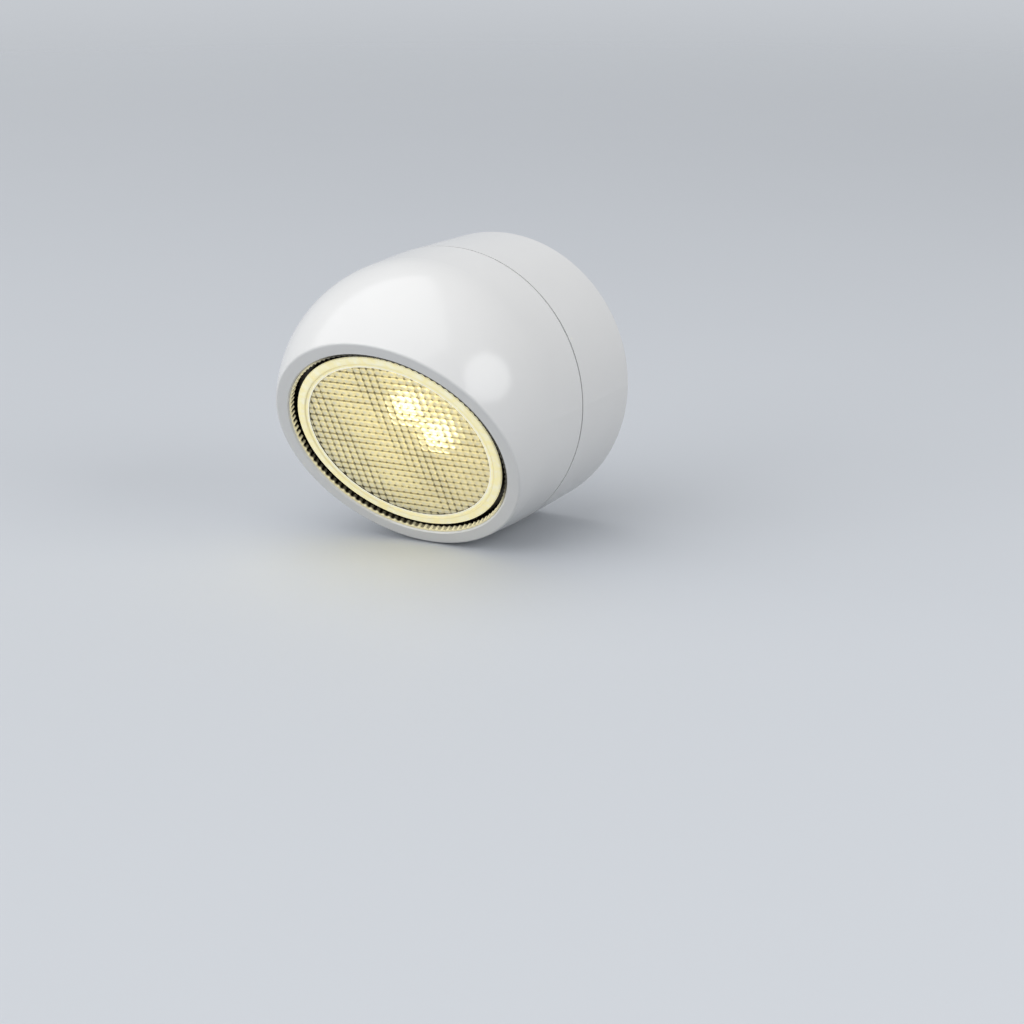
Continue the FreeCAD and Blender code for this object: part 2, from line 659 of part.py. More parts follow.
# Swivel
def make_swivel_plate():
    """The disc that closes the base, with the pivot hub, ring seats and posts on the board."""
    corners = [("pivot_radius + screw_gap", "plate_back"), ("plate_radius", "plate_back"),
               ("plate_radius", "plate_face")]
    for track in ("outer_track", "inner_track"):
        for way in ("+", "-"):
            edge = "%s %s (ring_width / 2 + fit)" % (track, way)
            ends = [(edge, "plate_face"), (edge, "plate_face - ring_sunk")]
            corners += ends if way == "+" else ends[::-1]
    corners += [("hub_radius", "plate_face"), ("hub_radius", "hub_top"), ("pivot_radius + screw_gap", "hub_top")]
    body = turned_body("swivel_disc", corners)
    hole = body_sketch(body, "cover_hole_outline", "XY_Plane", "plate_face")
    draw_circle(hole, "screw_radius + screw_gap", ("0", "boss_place"))
    through = pocket(body, "cover_hole", hole, "plate_thickness")
    sink = body_sketch(body, "cover_sink_outline", "XY_Plane", "plate_face")
    draw_circle(sink, "screw_head + sink_gap", ("0", "boss_place"))
    sunk = pocket(body, "cover_sink", sink, "screw_head_height + sink_gap")
    round_the_axis(body, "cover_holes", [through, sunk])
    posts = body_sketch(body, "post_outline", "XY_Plane", "board_face")
    for side in ("", "-"):
        for row in ("", "-"):
            draw_circle(posts, "post_radius", (side + "post_across", row + "post_up"))
    pad(body, "posts", posts, "%s - %s" % ("plate_back", "board_face"))
    slots = [tab(ring + "_plate_slot", ring, "tab_gap", "plate_back", "plate_face") for ring in TABS]
    keep(without("swivel_plate_slotted", body, slots), "swivel_plate", stand_on_swivel)


def make_ring(ring):
    """A flat contact ring with a tab that runs through the swivel plate to the board."""
    track = TABS[ring][0]
    low = "%s - ring_thickness" % "ring_top"
    inside = track + " - ring_width / 2"
    outside = track + " + ring_width / 2"
    flat = turned(ring + "_flat", [(inside, low), (outside, low), (outside, "ring_top"), (inside, "ring_top")])
    leg = tab(ring + "_tab", ring, "0 * tab_gap", "board_back", low)
    keep(joined(ring + "_whole", [flat, leg]), ring + "_ring", stand_on_swivel)


def screw_shape(name, radius, length, head, head_height, slot, place=("0", "0"), seat="0"):
    """A pan head screw whose head stands on seat, with a cross slot in the head."""
    shank = rod(name + "_shank", radius, length, place, "%s - %s" % (seat, length))
    cap = rod(name + "_cap", head, head_height, place, seat)
    recess = [block(name + "_slot", slot, "1.2 * %s" % head, head_height, place,
                    "%s + %s / 2" % (seat, head_height)),
              block(name + "_slot", "1.2 * %s" % head, slot, head_height, place,
                    "%s + %s / 2" % (seat, head_height))]
    return without(name + "_cut", joined(name + "_solid", [shank, cap]), recess)


def make_cover_screws():
    """The screws that hold the swivel plate, one for each boss."""
    seat = "plate_face - screw_head_height - sink_gap"
    screws = []
    for step in range(int(value("cover_count"))):
        angle = "(90 + %d * 360 / cover_count)" % step
        place = ("boss_place * cos%s" % angle, "boss_place * sin%s" % angle)
        screws.append(screw_shape("cover_screw_%d" % (step + 1), "screw_radius", "screw_length",
                                  "screw_head", "screw_head_height", "0.5", place, seat))
    group = doc.addObject("Part::Compound", "cover_screw_group")
    group.Links = screws
    keep(group, "cover_screws", stand_on_swivel)


def make_pivot():
    """The screw, washer and dished spring that hold the head on the hub."""
    washer_top = "hub_top + washer_thickness"
    screw = screw_shape("pivot", "pivot_radius", "pivot_length", "pivot_head", "pivot_head_height", "0.7",
                        seat=washer_top)
    keep(screw, "pivot_screw", stand_on_swivel)
    bore = "pivot_radius + screw_gap"
    washer = turned_body("pivot_washer", [(bore, "hub_top"), ("washer_radius", "hub_top"),
                                          ("washer_radius", washer_top), (bore, washer_top)])
    keep(washer, "pivot_washer", stand_on_swivel)
    inside = "hub_radius + pivot_gap"
    low = "sleeve_top + spring_gap"
    spring = turned_body("spring_washer", [
        (inside, low), (inside, low + " + spring_thickness"),
        ("washer_radius", "hub_top"), ("washer_radius", "hub_top - spring_thickness")])
    keep(spring, "spring_washer", stand_on_swivel)


# Head plate and contacts
FINGERS = {"inner": "inner_track", "outer": "-outer_track"}


def make_head_plate():
    """The disc that turns on the hub, with windows for the contacts and hooks for the shell."""
    bore = "hub_radius + pivot_gap"
    outside = "head_seat - fit"
    skirt = "skirt_radius - skirt_wall"
    corners = [(bore, "head_back"), (skirt, "head_back"), (skirt, "head_back - skirt_depth"),
               ("skirt_radius", "head_back - skirt_depth"), ("skirt_radius", "head_back"),
               (outside, "head_back"), (outside, "head_face"), ("sleeve_radius", "head_face"),
               ("sleeve_radius", "sleeve_top"), (bore, "sleeve_top")]
    body = turned_body("head_plate", corners)
    hook = body_sketch(body, "hook_outline", "XY_Plane", "head_face")
    draw_box(hook, "hook_width", "hook_wall", ("0", "hook_radius - hook_wall / 2"))
    stem = pad(body, "hook", hook, "hook_height")
    barb = body_sketch(body, "barb_outline", "YZ_Plane")
    top = "head_face + hook_height"
    draw_outline(barb, [("hook_radius - hook_wall / 2", top), ("hook_radius", top),
                        ("hook_radius + barb_reach", top + " - barb_height"),
                        ("hook_radius - hook_wall / 2", top + " - barb_height")])
    catch = pad(body, "barb", barb, "hook_width", both_ways=True)
    round_the_axis(body, "hooks", [stem, catch])
    windows = body_sketch(body, "window_outline", "XY_Plane", "head_face")
    holes = body_sketch(body, "rivet_hole_outline", "XY_Plane", "head_face")
    length = "finger_start + finger_tip + 2 * window_gap"
    for row in FINGERS.values():
        draw_box(windows, length, "finger_width + 2 * window_gap", ("(finger_start - finger_tip) / 2", row))
        draw_circle(holes, "rivet_radius + screw_gap", ("rivet_place", row))
    pocket(body, "windows", windows, "head_thickness")
    pocket(body, "rivet_holes", holes, "rivet_depth")
    keep(body, "head_plate", stand_on_swivel)


def make_finger(name):
    """A spring contact: a strip fixed on the head plate that leans through a window to its ring."""
    row = FINGERS[name]
    low = "ring_top + contact_gap"
    body = doc.addObject("PartDesign::Body", name + "_finger")
    outline = body_sketch(body, name + "_finger_outline", "XZ_Plane")
    thick = "finger_thickness"
    lower = [("finger_end", "head_face"), ("finger_start", "head_face"), (thick, low), ("-" + thick, low),
             ("-finger_tip", low + " + finger_lift")]
    upper = [("-finger_tip", low + " + finger_lift + 1.2 * " + thick), ("-%s / 2" % thick, low + " + " + thick),
             ("%s / 2" % thick, low + " + " + thick),
             ("finger_start - %s / 2" % thick, "head_face + " + thick),
             ("finger_end", "head_face + " + thick)]
    draw_outline(outline, lower + upper)
    pad(body, name + "_finger_strip", outline, "finger_width", both_ways=True)
    hole = body_sketch(body, name + "_finger_hole_outline", "XY_Plane", "head_face + " + thick)
    draw_circle(hole, "rivet_radius + screw_gap", ("rivet_place", "0"))
    pocket(body, name + "_finger_hole", hole, "2 * " + thick)
    bind(body, "Placement.Base.z", row)
    keep(body, name + "_finger", stand_on_swivel)


def make_contact_rivets():
    """The two rivets that hold the spring contacts."""
    face = "head_face + finger_thickness"
    rivets = []
    for row in FINGERS.values():
        shank = rod("rivet_shank", "rivet_radius", "rivet_depth + finger_thickness", ("rivet_place", row),
                    "head_face - rivet_depth")
        cap = rod("rivet_cap", "rivet_head", "rivet_head_height", ("rivet_place", row), face)
        rivets.append(joined("rivet", [shank, cap]))
    group = doc.addObject("Part::Compound", "rivet_group")
    group.Links = rivets
    keep(group, "contact_rivets", stand_on_swivel)


def lens_point(across, up, height):
    """A point of the lens axis's frame, in the swivel axis's frame."""
    tilt = Placement(Vector(0, 0, value("ball_depth")), Rotation(Vector(1, 0, 0), value("lens_tilt")))
    return tilt.multVec(Vector(across, up, height))


def tube(points, radius, bend):
    """A round lead through points, with every corner turned on an arc."""
    edges = []
    start = points[0]
    for before, corner, after in zip(points, points[1:], points[2:]):
        inward = (before - corner).normalize()
        outward = (after - corner).normalize()
        half = inward.getAngle(outward) / 2
        reach = bend / math.tan(half)
        middle = corner + (inward + outward).normalize() * (bend / math.sin(half) - bend)
        edges.append(Part.LineSegment(start, corner + inward * reach).toShape())
        edges.append(Part.Arc(corner + inward * reach, middle, corner + outward * reach).toShape())
        start = corner + outward * reach
    edges.append(Part.LineSegment(start, points[-1]).toShape())
    path = Part.Wire(edges)
    ring = Part.Wire([Part.Circle(points[0], points[1] - points[0], radius).toShape()])
    return path.makePipeShell([ring], True, False)


def make_lead(name):
    """A lead from a spring contact's fixed end to the back of the LED board."""
    inner = name == "inner"
    row = value("inner_track") if inner else -value("outer_track")
    up = value("pad_up") if inner else -value("pad_up")
    foot = value("base_depth") + value("seam_gap") + value("head_thickness") + value("finger_thickness")
    across = value("finger_end") - value("wire_radius") - value("wire_inset")
    rise = foot + value(name + "_rise")
    points = [Vector(across, row, foot), Vector(across, row, rise)]
    if not inner:
        points.append(Vector(value("outer_turn_across"), -value("outer_turn_down"), rise))
    points.append(lens_point(value("pad_across"), up, value("led_board_height") - value("run_in")))
    points.append(lens_point(value("pad_across"), up, value("led_board_height")))
    lead = doc.addObject("Part::Feature", name + "_lead")
    lead.Shape = tube(points, value("wire_radius"), value("wire_bend"))
    keep(lead, name + "_lead", stand_on_swivel)


# Head
def make_head_shell():
    """The drum and ball, cut by the rim's plane, with the mouth, the lens ledge and hook pockets."""
    waist = "(ball_depth + %s * sin(draft))"
    drums = []
    for name, radius in (("outer", "front_radius"), ("inner", "(front_radius - shell_wall)")):
        high = waist % radius
        drum = doc.addObject("Part::Cone", name + "_drum")
        bind(drum, "Radius1", "%s / cos(draft) + tan(draft) * (ball_depth - %s)" % (radius, "head_back"))
        bind(drum, "Radius2", radius + " * cos(draft)")
        bind(drum, "Height", "%s - %s" % (high, "head_back"))
        bind(drum, "Placement.Base.z", "head_back")
        ball = doc.addObject("Part::Sphere", name + "_ball")
        bind(ball, "Radius", radius)
        bind(ball, "Angle1", "draft")
        bind(ball, "Placement.Base.z", "ball_depth")
        drums.append(joined(name + "_shape", [drum, ball]))
    far = "2 * front_radius"
    behind_ledge = turned("behind_ledge", [("0", "-(%s)" % far), (far, "-(%s)" % far),
                                           (far, "ledge_height"), ("0", "ledge_height")])
    lean_to_lens_axis(behind_ledge)
    hollow = doc.addObject("Part::Common", "hollow")
    hollow.Base = drums[1]
    hollow.Tool = behind_ledge
    mouth = turned("mouth", [
        ("0", "ledge_height - ledge_thickness"), ("ledge_radius", "ledge_height - ledge_thickness"),
        ("ledge_radius", "ledge_top"), ("mouth_radius", "ledge_top"),
        ("mouth_radius", "rim_height - mouth_chamfer"), ("mouth_radius + mouth_chamfer", "rim_height"),
        (far, "rim_height"), (far, far), ("0", far)])
    lean_to_lens_axis(mouth)
    seat = rod("head_plate_seat", "head_seat", "head_thickness", foot="head_back")
    tools = [hollow, mouth, seat]
    for step in range(int(value("cover_count"))):
        angle = "(%d * 360 / cover_count)" % step
        pocket_box = block("hook_pocket", "hook_width + 2 * barb_gap", "barb_reach + 3 * barb_gap + hook_wall",
                           "barb_height + 2 * barb_gap")
        inner = "(hook_radius - hook_wall)"
        half = "(hook_width / 2 + barb_gap)"
        pocket_box.Placement.Rotation = Rotation(Vector(0, 0, 1), 1)
        bind(pocket_box, "Placement.Rotation.Angle", angle)
        bind(pocket_box, "Placement.Base.x", "-%s * cos%s - %s * sin%s" % (half, angle, inner, angle))
        bind(pocket_box, "Placement.Base.y", "-%s * sin%s + %s * cos%s" % (half, angle, inner, angle))
        bind(pocket_box, "Placement.Base.z", "head_face + hook_height - barb_height - barb_gap")
        tools.append(pocket_box)
    shell = without("shell_cut", drums[0], tools)
    stakes = []
    for step in range(int(value("cover_count"))):
        angle = "(30 + %d * 360 / cover_count)" % step
        place = ("stake_place * cos%s" % angle, "stake_place * sin%s" % angle)
        stakes.append(rod("stake", "stake_radius", "stake_length + ledge_thickness / 2", place,
                          "ledge_height - stake_length"))
    stake_group = joined("stakes", stakes)
    lean_to_lens_axis(stake_group)
    whole = joined("shell_with_stakes", [shell, stake_group])
    rim = lean_point(value("rim_height"))
    radius = value("mouth_radius") + value("rim_width")
    tilted = rounded("rim_softened", whole, "rim_round", lambda e: on_rim(e, rim, radius))
    keep(tilted, "head_shell", stand_on_swivel)


def lean_point(height):
    """A plane square to the lens axis, as a point on that axis in the swivel axis's frame."""
    return lens_point(0, 0, height)


def on_rim(edge, middle, radius):
    """True for the edges of the rim's outer outline."""
    normal = (middle - Vector(0, 0, value("ball_depth"))).normalize()
    spots = [vertex.Point for vertex in edge.Vertexes] + [edge.valueAt(sum(edge.ParameterRange) / 2)]
    for spot in spots:
        if abs((spot - middle).dot(normal)) > 0.01 or (spot - middle).Length < radius - 1:
            return False
    return True


def make_lens():
    """The round window with its skirt and flange."""
    inside = "lens_radius - lens_wall"
    under = "lens_face - lens_thickness"
    corners = [("0", under), (inside, under), (inside, "ledge_top"), ("flange_radius", "ledge_top"),
               ("flange_radius", "ledge_top + flange_height"),
               ("lens_radius", "ledge_top + flange_height"), ("lens_radius", "lens_face"), ("0", "lens_face")]
    body = turned_body("lens", corners)
    radius = value("lens_radius")
    face = value("rim_height") - value("lens_sunk")
    soften(body, "lens_edge", "PartDesign::Fillet", "lens_round", lambda e: is_circle(e, radius, face))
    keep(body, "lens", stand_on_lens_axis)


def make_lens_ring():
    """The ring that holds the lens flange on its ledge."""
    low = "ledge_top + flange_height"
    high = "rim_height - ring_sink"
    outside = "mouth_radius - fit"
    ring = turned_body("lens_ring", [("ring_bore", low), (outside, low), (outside, high),
                                     ("ring_bore", high)])
    keep(ring, "lens_ring", stand_on_lens_axis)


LEDS = {"upper": ("pair_across - led_across", "led_up - pair_down"),
        "lower": ("pair_across + led_across", "-led_up - pair_down")}


def make_reflector_cup():
    """The white dish round the LEDs, which hangs on the shell's stakes and carries the LED board."""
    tube_end = "led_board_face - cup_tube_depth"
    flange_low = "ledge_height - cup_flange_height"
    slope = "1.0"
    corners = [("0", "led_board_face"), ("led_board_radius + fit", "led_board_face"),
               ("led_board_radius + fit", tube_end), ("cup_tube", tube_end),
               ("cup_tube", "led_board_face + 0.3"), ("cup_mouth + 0.3", flange_low),
               ("cup_flange", flange_low), ("cup_flange", "ledge_height"),
               ("cup_mouth", "ledge_height"), ("cup_floor", "floor_top"), ("0", "floor_top")]
    body = turned_body("reflector_cup", corners)
    pillars = body_sketch(body, "pillar_outline", "XY_Plane", "led_board_face")
    holes = body_sketch(body, "pillar_hole_outline", "XY_Plane", "floor_top + pillar_height")
    for side in ("", "-"):
        draw_circle(pillars, "pillar_radius", (side + "led_screw_place", "0"))
        draw_circle(holes, "led_screw_radius + screw_gap", (side + "led_screw_place", "0"))
    pad(body, "pillars", pillars, "cup_floor_thickness + pillar_height")
    pocket(body, "pillar_holes", holes, "cup_floor_thickness + pillar_height")
    windows = body_sketch(body, "led_window_outline", "XY_Plane", "floor_top")
    for across, up in LEDS.values():
        draw_box(windows, "led_width + 2 * led_gap", "led_width + 2 * led_gap", (across, up))
    draw_box(windows, "chip_length + 2 * led_gap", "chip_width + 2 * led_gap",
             ("-chip_place * 0.8", "-chip_place"))
    pocket(body, "led_windows", windows, "cup_floor_thickness")
    stake_hole = body_sketch(body, "stake_hole_outline", "XY_Plane", "ledge_height")
    draw_circle(stake_hole, "stake_radius + stake_gap", ("stake_place * cos(30)", "stake_place * sin(30)"))
    first_hole = pocket(body, "stake_hole", stake_hole, "cup_flange_height")
    round_the_axis(body, "stake_holes", [first_hole])
    keep(body, "reflector_cup", stand_on_lens_axis)


def make_led_board():
    """The round board with its two LEDs, its chip resistor and its screws."""
    disc = rod("led_disc", "led_board_radius", "board_thickness", foot="led_board_height")
    tools = [rod("led_screw_hole", "led_screw_radius + screw_gap", "board_thickness",
                 (side + "led_screw_place", "0"), "led_board_height") for side in ("", "-")]
    keep(without("led_disc_drilled", disc, tools), "led_board", stand_on_lens_axis)
    for name, place in LEDS.items():
        frame_box = block(name + "_led_box", "led_width", "led_width", "led_height", place, "led_board_face")
        dish = rod(name + "_led_dish", "led_width * 0.4", "led_height", place,
                   "led_board_face + led_height * 0.85")
        keep(without(name + "_led_cut", frame_box, [dish]), name + "_led", stand_on_lens_axis)
    chip = block("chip", "chip_length", "chip_width", "chip_height", ("-chip_place * 0.8", "-chip_place"),
                 "led_board_face")
    keep(chip, "led_resistor", stand_on_lens_axis)
    screws = []
    for side in ("", "-"):
        place = (side + "led_screw_place", "0")
        cap = rod("led_screw_cap", "led_screw_head", "0.9", place, "led_board_height - 0.9")
        shank = rod("led_screw_shank", "led_screw_radius", "led_screw_length", place, "led_board_height")
        screws.append(joined("led_screw", [cap, shank]))
    group = doc.addObject("Part::Compound", "led_screw_group")
    group.Links = screws
    keep(group, "led_screws", stand_on_lens_axis)


make_base_housing()
for blade in BLADES:
    make_blade(blade)
make_blade_clamp()
make_driver_board()
for blade in BLADES:
    make_terminal(blade)
make_capacitors()
make_bridge_rectifier()
make_resistor("fuse_resistor", "")
make_resistor("bleed_resistor", "-")
make_swivel_plate()
for track_name in TABS:
    make_ring(track_name)
make_cover_screws()
make_pivot()
make_head_plate()
for finger in FINGERS:
    make_finger(finger)
make_contact_rivets()
for finger in FINGERS:
    make_lead(finger)
make_head_shell()
make_lens()
make_lens_ring()
make_reflector_cup()
make_led_board()
doc.recompute()


def report_faults():
    """Stops with a message if any object failed or any piece is not one sound shape."""
    for thing in doc.Objects:
        if "Invalid" in thing.State or "Error" in thing.State:
            raise RuntimeError("%s failed: %s" % (thing.Name, thing.State))
    for piece in NODES:
        if piece.Shape.isNull() or not piece.Shape.isValid() or not piece.Shape.Solids:
            raise RuntimeError("%s has no sound solid" % piece.Label)


report_faults()
os.makedirs("parts", exist_ok=True)
for piece in NODES:
    piece.Shape.exportStep("parts/%s.step" % piece.Label)
    corner = piece.Shape.BoundBox
    print("%-20s %2d solid %9.2f mm3  y %7.2f to %7.2f" % (
        piece.Label, len(piece.Shape.Solids), piece.Shape.Volume, corner.YMin, corner.YMax))
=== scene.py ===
"""A plug in night light, dressed for its portrait.

The frame holds every working piece. This file models the two whose relief is finer than their solids', which
are the ribbed lens and the toothed ring round it, and gives each piece, inside and out, its finish.
"""

import json
import logging
import math
from dataclasses import dataclass, field
from enum import Enum
from typing import Any, Mapping, Optional, Sequence, Union

import bmesh
import bpy
from mathutils import Matrix, Vector


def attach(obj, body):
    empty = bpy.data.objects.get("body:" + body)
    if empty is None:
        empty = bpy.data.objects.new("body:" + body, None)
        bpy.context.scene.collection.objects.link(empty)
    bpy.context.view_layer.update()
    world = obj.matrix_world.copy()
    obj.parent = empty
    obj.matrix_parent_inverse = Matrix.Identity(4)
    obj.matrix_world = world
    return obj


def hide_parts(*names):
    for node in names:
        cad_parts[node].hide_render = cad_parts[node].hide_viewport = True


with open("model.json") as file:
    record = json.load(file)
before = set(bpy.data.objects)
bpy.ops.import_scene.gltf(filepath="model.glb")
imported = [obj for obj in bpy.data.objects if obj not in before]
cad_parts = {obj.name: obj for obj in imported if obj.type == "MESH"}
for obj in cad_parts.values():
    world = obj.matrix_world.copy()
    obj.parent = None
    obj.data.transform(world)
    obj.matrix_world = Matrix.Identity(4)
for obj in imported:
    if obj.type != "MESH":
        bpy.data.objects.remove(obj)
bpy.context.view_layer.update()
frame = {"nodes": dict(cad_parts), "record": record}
LOG = logging.getLogger("night_light")

MM = 0.001
FULL_TURN = math.tau
ACRYLIC_IOR = 1.49

Colour = tuple[float, float, float]
Span = tuple[float, float]
Amount = Union["Signal", int, float]
Tone = Union["Signal", Colour]


class Body(str, Enum):
    """The two halves that turn against each other."""

    BASE = "base"
    HEAD = "head"


# --------------------------------------------------------------------------------------------------
# Shader graphs
# --------------------------------------------------------------------------------------------------


class Signal:
    """A value that varies over a surface, so that a pattern is written as plain arithmetic."""

    def __init__(self, graph: "Graph", socket: bpy.types.NodeSocket) -> None:
        """Holds a socket and the graph that it belongs to.

        Args:
            graph: The graph whose nodes the arithmetic adds to.
            socket: The output socket that carries the value.
        """
        self.graph = graph
        self.socket = socket

    def _math(self, operation: str, *values: Amount) -> "Signal":
        """Adds one Math node.

        Args:
            operation: The Math node's operation.
            values: Its inputs in order.

        Returns:
            The node's result.
        """
        return self.graph.node("ShaderNodeMath", {"operation": operation}, dict(enumerate(values)))

    def __add__(self, other: Amount) -> "Signal":
        """The sum."""
        return self._math("ADD", self, other)

    __radd__ = __add__

    def __sub__(self, other: Amount) -> "Signal":
        """The difference."""
        return self._math("SUBTRACT", self, other)

    def __rsub__(self, other: Amount) -> "Signal":
        """The difference from a number."""
        return self._math("SUBTRACT", other, self)

    def __mul__(self, other: Amount) -> "Signal":
        """The product."""
        return self._math("MULTIPLY", self, other)

    __rmul__ = __mul__

    def largest(self, other: "Signal") -> "Signal":
        """The larger of two numbers."""
        return self._math("MAXIMUM", self, other)

    def distance_to_line(self, pitch: float) -> "Signal":
        """How far a length is from the nearest multiple of a pitch, in the same unit."""
        return self._math("PINGPONG", self, pitch / 2)

    def step(self, start: float, end: float) -> "Signal":
        """A smooth rise from 0 at start to 1 at end, or a fall where start is the larger.

        Args:
            start: The value at which the result is 0.
            end: The value at which the result is 1.

        Returns:
            A number from 0 to 1.
        """
        low, high, out = (start, end, (0.0, 1.0)) if start < end else (end, start, (1.0, 0.0))
        return self.graph.node(
            "ShaderNodeMapRange",
            {"interpolation_type": "SMOOTHSTEP"},
            {"Value": self, "From Min": low, "From Max": high, "To Min": out[0], "To Max": out[1]},
        )


class Graph:
    """The node graph of a material or a world."""

    def __init__(self, owner: Union[bpy.types.Material, bpy.types.World]) -> None:
        """Empties the owner's graph.

        Args:
            owner: The material or world that the graph is for.
        """
        owner.use_nodes = True
        self.owner = owner
        self.tree = owner.node_tree
        self.tree.nodes.clear()

    @classmethod
    def of_material(cls, name: str) -> "Graph":
        """The graph of a new material."""
        return cls(bpy.data.materials.new(name))

    def node(
        self,
        kind: str,
        settings: Optional[Mapping[str, Any]] = None,
        inputs: Optional[Mapping[Union[str, int], Any]] = None,
        output: Union[str, int] = 0,
    ) -> Signal:
        """Adds any node.

        Args:
            kind: The node's type.
            settings: Its own settings, such as an operation.
            inputs: A value or a signal for each input, by the socket's name or its number.
            output: The output that is wanted.

        Returns:
            That output as a signal.
        """
        made = self.tree.nodes.new(kind)
        for key, setting in (settings or {}).items():
            setattr(made, key, setting)
        for key, given in (inputs or {}).items():
            socket = self._find(made.inputs, key)
            if isinstance(given, Signal):
                self.tree.links.new(given.socket, socket)
            elif isinstance(given, (int, float)) or len(given) == len(socket.default_value):
                socket.default_value = given
            else:
                socket.default_value = (*given, 1.0)
        return Signal(self, self._find(made.outputs, output))

    @staticmethod
    def _find(sockets: Any, key: Union[str, int]) -> bpy.types.NodeSocket:
        """The live socket of that name, or the socket at that number."""
        if isinstance(key, int):
            return sockets[key]
        return next(socket for socket in sockets if socket.enabled and socket.name == key)

    def place(self, centre: Vector = Vector(), turn: float = 0.0) -> Signal:
        """Object coordinates about a centre, in millimetres.

        Args:
            centre: The new origin, in metres.
            turn: The angle about X by which the new axes are turned, in radians.

        Returns:
            The coordinates as a vector.
        """
        coordinates = self.node("ShaderNodeTexCoord", output="Object")
        return self.node(
            "ShaderNodeMapping",
            {"vector_type": "TEXTURE"},
            {"Vector": coordinates, "Location": centre, "Rotation": (turn, 0.0, 0.0), "Scale": (MM, MM, MM)},
        )

    def split(self, vector: Signal) -> tuple[Signal, Signal, Signal]:
        """The three numbers of a vector."""
        made = self.node("ShaderNodeSeparateXYZ", inputs={0: vector})
        outputs = made.socket.node.outputs
        return Signal(self, outputs[0]), Signal(self, outputs[1]), Signal(self, outputs[2])

    def join(self, x: Amount, y: Amount, z: Amount) -> Signal:
        """A vector from three numbers."""
        return self.node("ShaderNodeCombineXYZ", inputs={0: x, 1: y, 2: z})

    def noise(self, place: Signal, size: float, detail: float = 2.0, roughness: float = 0.5) -> Signal:
        """Soft noise from 0 to 1.

        Args:
            place: The coordinates that it reads.
            size: The width of one blotch, in the coordinates' unit.
            detail: How many finer layers it has.
            roughness: How strong the finer layers are.

        Returns:
            The noise.
        """
        values = {"Vector": place, "Scale": 1.0 / size, "Detail": detail, "Roughness": roughness}
        return self.node("ShaderNodeTexNoise", inputs=values)

    def mix(self, share: Amount, first: Tone, second: Tone) -> Signal:
        """A blend of two colours.

        Args:
            share: How much of the second colour there is.
            first: The colour where the share is 0.
            second: The colour where the share is 1.

        Returns:
            The blended colour.
        """
        inputs = {"Factor": share, "A": first, "B": second}
        return self.node("ShaderNodeMix", {"data_type": "RGBA"}, inputs, "Result")

    def bump(self, height: Signal, depth: float) -> Signal:
        """A normal that follows a height.

        Args:
            height: The height, from 0 to 1.
            depth: What a height of 1 stands for, in millimetres.

        Returns:
            The normal.
        """
        return self.node("ShaderNodeBump", inputs={"Strength": 1.0, "Distance": depth * MM, "Height": height})

    def surface(self, **inputs: Any) -> bpy.types.Material:
        """Closes the graph with a Principled surface.

        Args:
            inputs: The surface's sockets, each with its spaces written as underscores.

        Returns:
            The finished material.
        """
        values = {name.replace("_", " "): value for name, value in inputs.items()}
        self.close("ShaderNodeOutputMaterial", self.node("ShaderNodeBsdfPrincipled", inputs=values))
        return self.owner

    def seen(self) -> Signal:
        """1 for rays that show a background, also in a gloss or through glass, and 0 for its light."""
        camera, glossy, through = (
            self.node("ShaderNodeLightPath", output=ray)
            for ray in ("Is Camera Ray", "Is Glossy Ray", "Is Transmission Ray")
        )
        return camera.largest(glossy).largest(through)

    def close(self, kind: str, shader: Signal) -> None:
        """Ends the graph with its output node.

        Args:
            kind: The output node's type.
            shader: The shader that it shows.
        """
        output = self.tree.nodes.new(kind)
        self.tree.links.new(shader.socket, output.inputs["Surface"])

    def length(self, x: Signal, y: Signal) -> Signal:
        """The length of a flat vector."""
        return self.node("ShaderNodeVectorMath", {"operation": "LENGTH"}, {0: self.join(x, y, 0.0)}, "Value")


def dimmed(colour: Colour, share: float) -> Colour:
    """A share of a colour's light."""
    red, green, blue = colour
    return red * share, green * share, blue * share


# --------------------------------------------------------------------------------------------------
# Finishes
# --------------------------------------------------------------------------------------------------


@dataclass(frozen=True)
class Plastic:
    """Moulded plastic: a faint mottle in its colour and a faint waviness in its skin.

    Sizes are in millimetres. Where matt_face is given, the skin is matt behind that place along Y.
    """

    name: str
    colour: Colour
    roughness: float = 0.2
    mottle: float = 0.02
    cloud_size: float = 9.0
    cloud_gloss: float = 0.3
    wave_size: float = 1.6
    wave_depth: float = 0.0006
    grain_size: float = 0.12
    grain_depth: float = 0.0004
    grain_gloss: float = 0.2
    matt_face: Optional[float] = None
    matt_edge: Span = (-0.3, -0.05)
    matt_roughness: float = 0.3
    matt_grain: float = 4.0

    def material(self) -> bpy.types.Material:
        """The finish as a material, matt where the piece has a face that nobody sees in use."""
        graph = Graph.of_material(self.name)
        place = graph.place()
        cloud = graph.noise(place, self.cloud_size, 3.0)
        grain = graph.noise(place, self.grain_size, 2.0, 0.6)
        wave = graph.noise(place, self.wave_size, 1.0)
        depth = self.wave_depth + self.grain_depth
        skin = wave * (self.wave_depth / depth) + grain * (self.grain_depth / depth)
        uneven = (cloud - 0.5) * self.cloud_gloss + (grain - 0.5) * self.grain_gloss
        roughness = (1.0 + uneven) * self.roughness
        if self.matt_face is not None:
            _, along, _ = graph.split(place)
            matt = (along - self.matt_face).step(*self.matt_edge)
            roughness = roughness + matt * self.matt_roughness
            skin = skin + grain * matt * self.matt_grain
        darker = dimmed(self.colour, 1.0 - 2.0 * self.mottle)
        return graph.surface(
            Base_Color=graph.mix(cloud, darker, self.colour),
            Roughness=roughness,
            Normal=graph.bump(skin, depth),
        )


